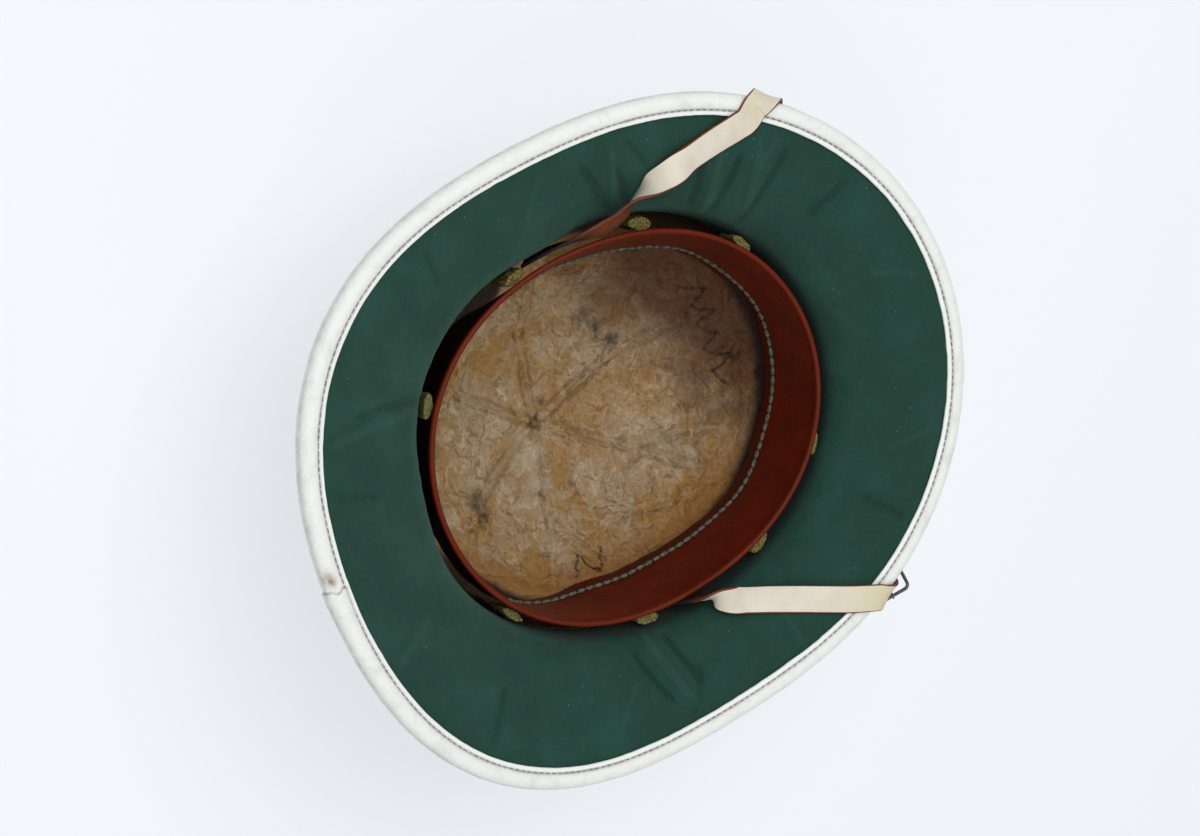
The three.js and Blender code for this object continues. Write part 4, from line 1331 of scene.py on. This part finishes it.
def strap_frames(steps):
    stations = strap_stations()
    at = catmull_rom([s[0] for s in stations], steps, MM)
    up = catmull_rom([s[1] for s in stations], steps, 1.0)
    along = np.gradient(at, axis=0)
    along /= np.linalg.norm(along, axis=1, keepdims=True)
    side = np.cross(up, along)
    side /= np.linalg.norm(side, axis=1, keepdims=True)
    return at, side, np.cross(along, side), along


def paint_strap(piece, face_material, back_material, section_count):
    """Cream on the face, brown on the edges and the back."""
    piece.data.materials.append(face_material)
    piece.data.materials.append(back_material)
    normal = piece["face_side"]
    del piece["face_side"]
    for index, polygon in enumerate(piece.data.polygons):
        column = index % section_count
        polygon.material_index = 0 if column in normal else 1


STRAP_STEPS = 384


def chin_strap(face_material, back_material):
    at, side, up, along = strap_frames(STRAP_STEPS)
    section = rounded_rectangle(STRAP["width"], STRAP["leather"], 0.45, 3)
    section[:, 1] += 0.08 * MM * np.where(section[:, 1] > 0, 1 - (section[:, 0] / 6.25 / MM) ** 2, 0)
    piece = tube_mesh("strap", at, side, up, section)
    piece["face_side"] = [3]
    paint_strap(piece, face_material, back_material, len(section))
    aged = aged_near(at, over_edge(EXIT["left"], 20, LIFT)[0], 16) * 1.0
    aged = np.maximum(aged, 0.5 * aged_near(at, over_edge(EXIT["right"], 40, LIFT)[0], 10))
    set_attribute(piece, "aged", np.repeat(aged, len(section)))
    inside = np.linalg.norm(at[:, :2], axis=1) < 93 * MM
    shade = inside * smooth_step(RIM_HEIGHT - at[:, 2] / MM, -5.0, 3.0)
    set_attribute(piece, "shade", np.repeat(shade, len(section)))
    return own(piece, "strap_leather", "chin_strap")


def aged_near(at, spot, reach):
    return np.exp(-(np.linalg.norm(at - spot, axis=1) / (reach * MM)) ** 2)


BUCKLE_STATION = -16                # counted from the strap's left end, just past the fold


def strap_extras(face_material, back_material, metal):
    """The strap's tip, its keeper and the buckle."""
    at, side, up, along = strap_frames(STRAP_STEPS)
    stations = strap_stations()
    spot = stations[BUCKLE_STATION][0]
    buckle = int(np.argmin(np.linalg.norm(at - spot, axis=1)))
    stop, start = buckle - 20, buckle - 52
    cut = slice(start, stop + 1)
    section = rounded_rectangle(STRAP["width"] - 0.6, STRAP["leather"], 0.45, 3)
    tip = tube_mesh("strap_end", at[cut] + up[cut] * LAYER * MM, side[cut], up[cut], section)
    tip["face_side"] = [3]
    paint_strap(tip, face_material, back_material, len(section))
    set_attribute(tip, "aged", np.zeros(len(tip.data.vertices)))
    own(tip, "strap_leather", "strap_tip")

    k = buckle - 32
    loop_section = rounded_rectangle(6.0, 1.2, 0.4, 3)
    half_w = STRAP["width"] / 2 + 0.5 + 0.6
    half_h = (LAYER + STRAP["leather"]) / 2 + 0.5 + 0.6
    centre = at[k] + up[k] * LAYER / 2 * MM
    path = rounded_path(half_w, half_h, 1.4, 5)
    points = np.array([centre + side[k] * p[0] * MM + up[k] * p[1] * MM for p in path])
    outwards = np.array([side[k] * p[2] + up[k] * p[3] for p in path])
    keeper = tube_mesh("keeper_loop", points, np.repeat(along[k][None], len(path), axis=0), outwards,
                       loop_section, closed=True)
    own(keeper, "brown_leather", "strap_keeper", material=back_material)

    lift = STRAP["leather"] / 2 + 1.7
    centre = at[buckle] + up[buckle] * lift * MM
    wire = BUCKLE["wire"] / 2
    turn = np.radians(np.arange(0, 360, 30.0))
    round_section = np.stack([np.cos(turn), np.sin(turn)], axis=1) * wire * MM
    path = rounded_path(BUCKLE["width"] / 2 - wire, BUCKLE["length"] / 2 - wire, 2.4, 6)
    points = np.array([centre + side[buckle] * p[0] * MM + along[buckle] * p[1] * MM for p in path])
    outwards = np.array([side[buckle] * p[2] + along[buckle] * p[3] for p in path])
    ring = tube_mesh("buckle_ring", points, np.repeat(up[buckle][None], len(path), axis=0), outwards,
                     round_section * (1, 0.85), closed=True)
    own(ring, "buckle_metal", "buckle_frame", material=metal)

    reach = BUCKLE["length"] / 2
    t = np.linspace(-1, 1, 22)
    points = (centre + along[buckle] * (t * reach * MM)[:, None]
              + up[buckle] * ((1.75 - 0.35 * t ** 2) * MM)[:, None])
    thin = np.concatenate([np.full(17, 1.0), np.linspace(0.95, 0.45, 5)])
    tongue = tube_mesh("buckle_pin", points, np.repeat(side[buckle][None], 22, axis=0),
                       np.repeat(up[buckle][None], 22, axis=0), round_section * 0.75)
    scale_sections(tongue, points, thin, len(round_section))
    own(tongue, "buckle_metal", "buckle_tongue", material=metal)


def scale_sections(piece, centres, sizes, count):
    for index, vertex in enumerate(piece.data.vertices):
        centre = Vector(centres[index // count])
        vertex.co = centre + (vertex.co - centre) * sizes[index // count]


def rounded_path(half_w, half_h, corner, steps):
    """A rounded rectangle's points with their outward directions: x, y, out x, out y."""
    out = []
    for sx, sy, start in ((1, 1, 0), (-1, 1, 90), (-1, -1, 180), (1, -1, 270)):
        for step in range(steps + 1):
            turn = math.radians(start + 90 * step / steps)
            c, s = math.cos(turn), math.sin(turn)
            out.append((sx * (half_w - corner) + corner * c, sy * (half_h - corner) + corner * s, c, s))
    return out


# ------------------------------------------------------------------ stage
CAMERA = dict(azimuth=130.9, elevation=61.86, distance=1.0, focal=68.96,
              target=(0.0106, 0.0129, 0.1154), up=(0.8863, -0.4443, -0.1307))


def aim(thing, target, up):
    forward = (Vector(target) - thing.location).normalized()
    right = forward.cross(Vector(up)).normalized()
    true_up = right.cross(forward)
    turn = Matrix((right, true_up, -forward)).transposed()
    thing.rotation_euler = turn.to_euler()


def camera():
    data = bpy.data.cameras.new("camera")
    data.lens = CAMERA["focal"]
    data.sensor_width = 36
    data.clip_end = 20
    thing = bpy.data.objects.new("camera", data)
    bpy.context.scene.collection.objects.link(thing)
    e = math.radians(CAMERA["elevation"])
    flat = Vector((0.3087, 0.3565, 0)).normalized() * math.cos(e)
    toward = Vector((flat.x, flat.y, math.sin(e)))
    thing.location = Vector(CAMERA["target"]) + toward * CAMERA["distance"]
    aim(thing, CAMERA["target"], CAMERA["up"])
    bpy.context.scene.camera = thing


def area_light(name, location, size, power, color=(1, 1, 1)):
    data = bpy.data.lights.new(name, "AREA")
    data.shape = "DISK"
    data.size = size
    data.energy = power
    data.color = color
    thing = bpy.data.objects.new(name, data)
    bpy.context.scene.collection.objects.link(thing)
    thing.location = location
    aim(thing, (0, 0, 0.1), (0, 1, 0.01))


def stage():
    mesh = bpy.data.meshes.new("floor")
    mesh.from_pydata([(-4, -4, 0), (4, -4, 0), (4, 4, 0), (-4, 4, 0)], [], [(0, 1, 2, 3)])
    floor = bpy.data.objects.new("floor", mesh)
    bpy.context.scene.collection.objects.link(floor)
    floor.data.materials.append(plain_floor())
    world = bpy.data.worlds.new("studio")
    world.use_nodes = True
    sky = world.node_tree.nodes["Background"]
    sky.inputs[0].default_value = (0.95, 0.97, 1.0, 1)
    sky.inputs[1].default_value = 0.48
    bpy.context.scene.world = world
    bpy.context.scene.view_settings.view_transform = "Standard"
    area_light("key", (0.75, -0.2, 1.9), 1.6, 20)
    area_light("fill", (-0.8, 0.8, 1.7), 2.2, 9)


# ------------------------------------------------------------------ assembly
def main():
    camera()
    stage()
    cover_material = white_cover_cloth()
    thread_grey = thread("grey_thread", linear(178, 172, 158), linear(124, 112, 96))
    thread_green = thread("grey_green_thread", linear(118, 128, 110), linear(52, 60, 47))
    thread_white = thread("white_thread", linear(206, 202, 190), linear(160, 154, 140))
    _, seams = cover(cover_material)
    seam_stitches(seams, thread_white)
    crown_button(cover_material)
    green_lining(green_cloth())
    paper_lining(varnished_paper())
    edge_binding(white_leather())
    binding_stitches(thread_grey)
    sweatband(band_leather())
    band_stitches(thread_green)
    corks(cork_bark())
    face_material, back_material = strap_face(), strap_back()
    chin_strap(face_material, back_material)
    strap_extras(face_material, back_material, dark_metal())


main()
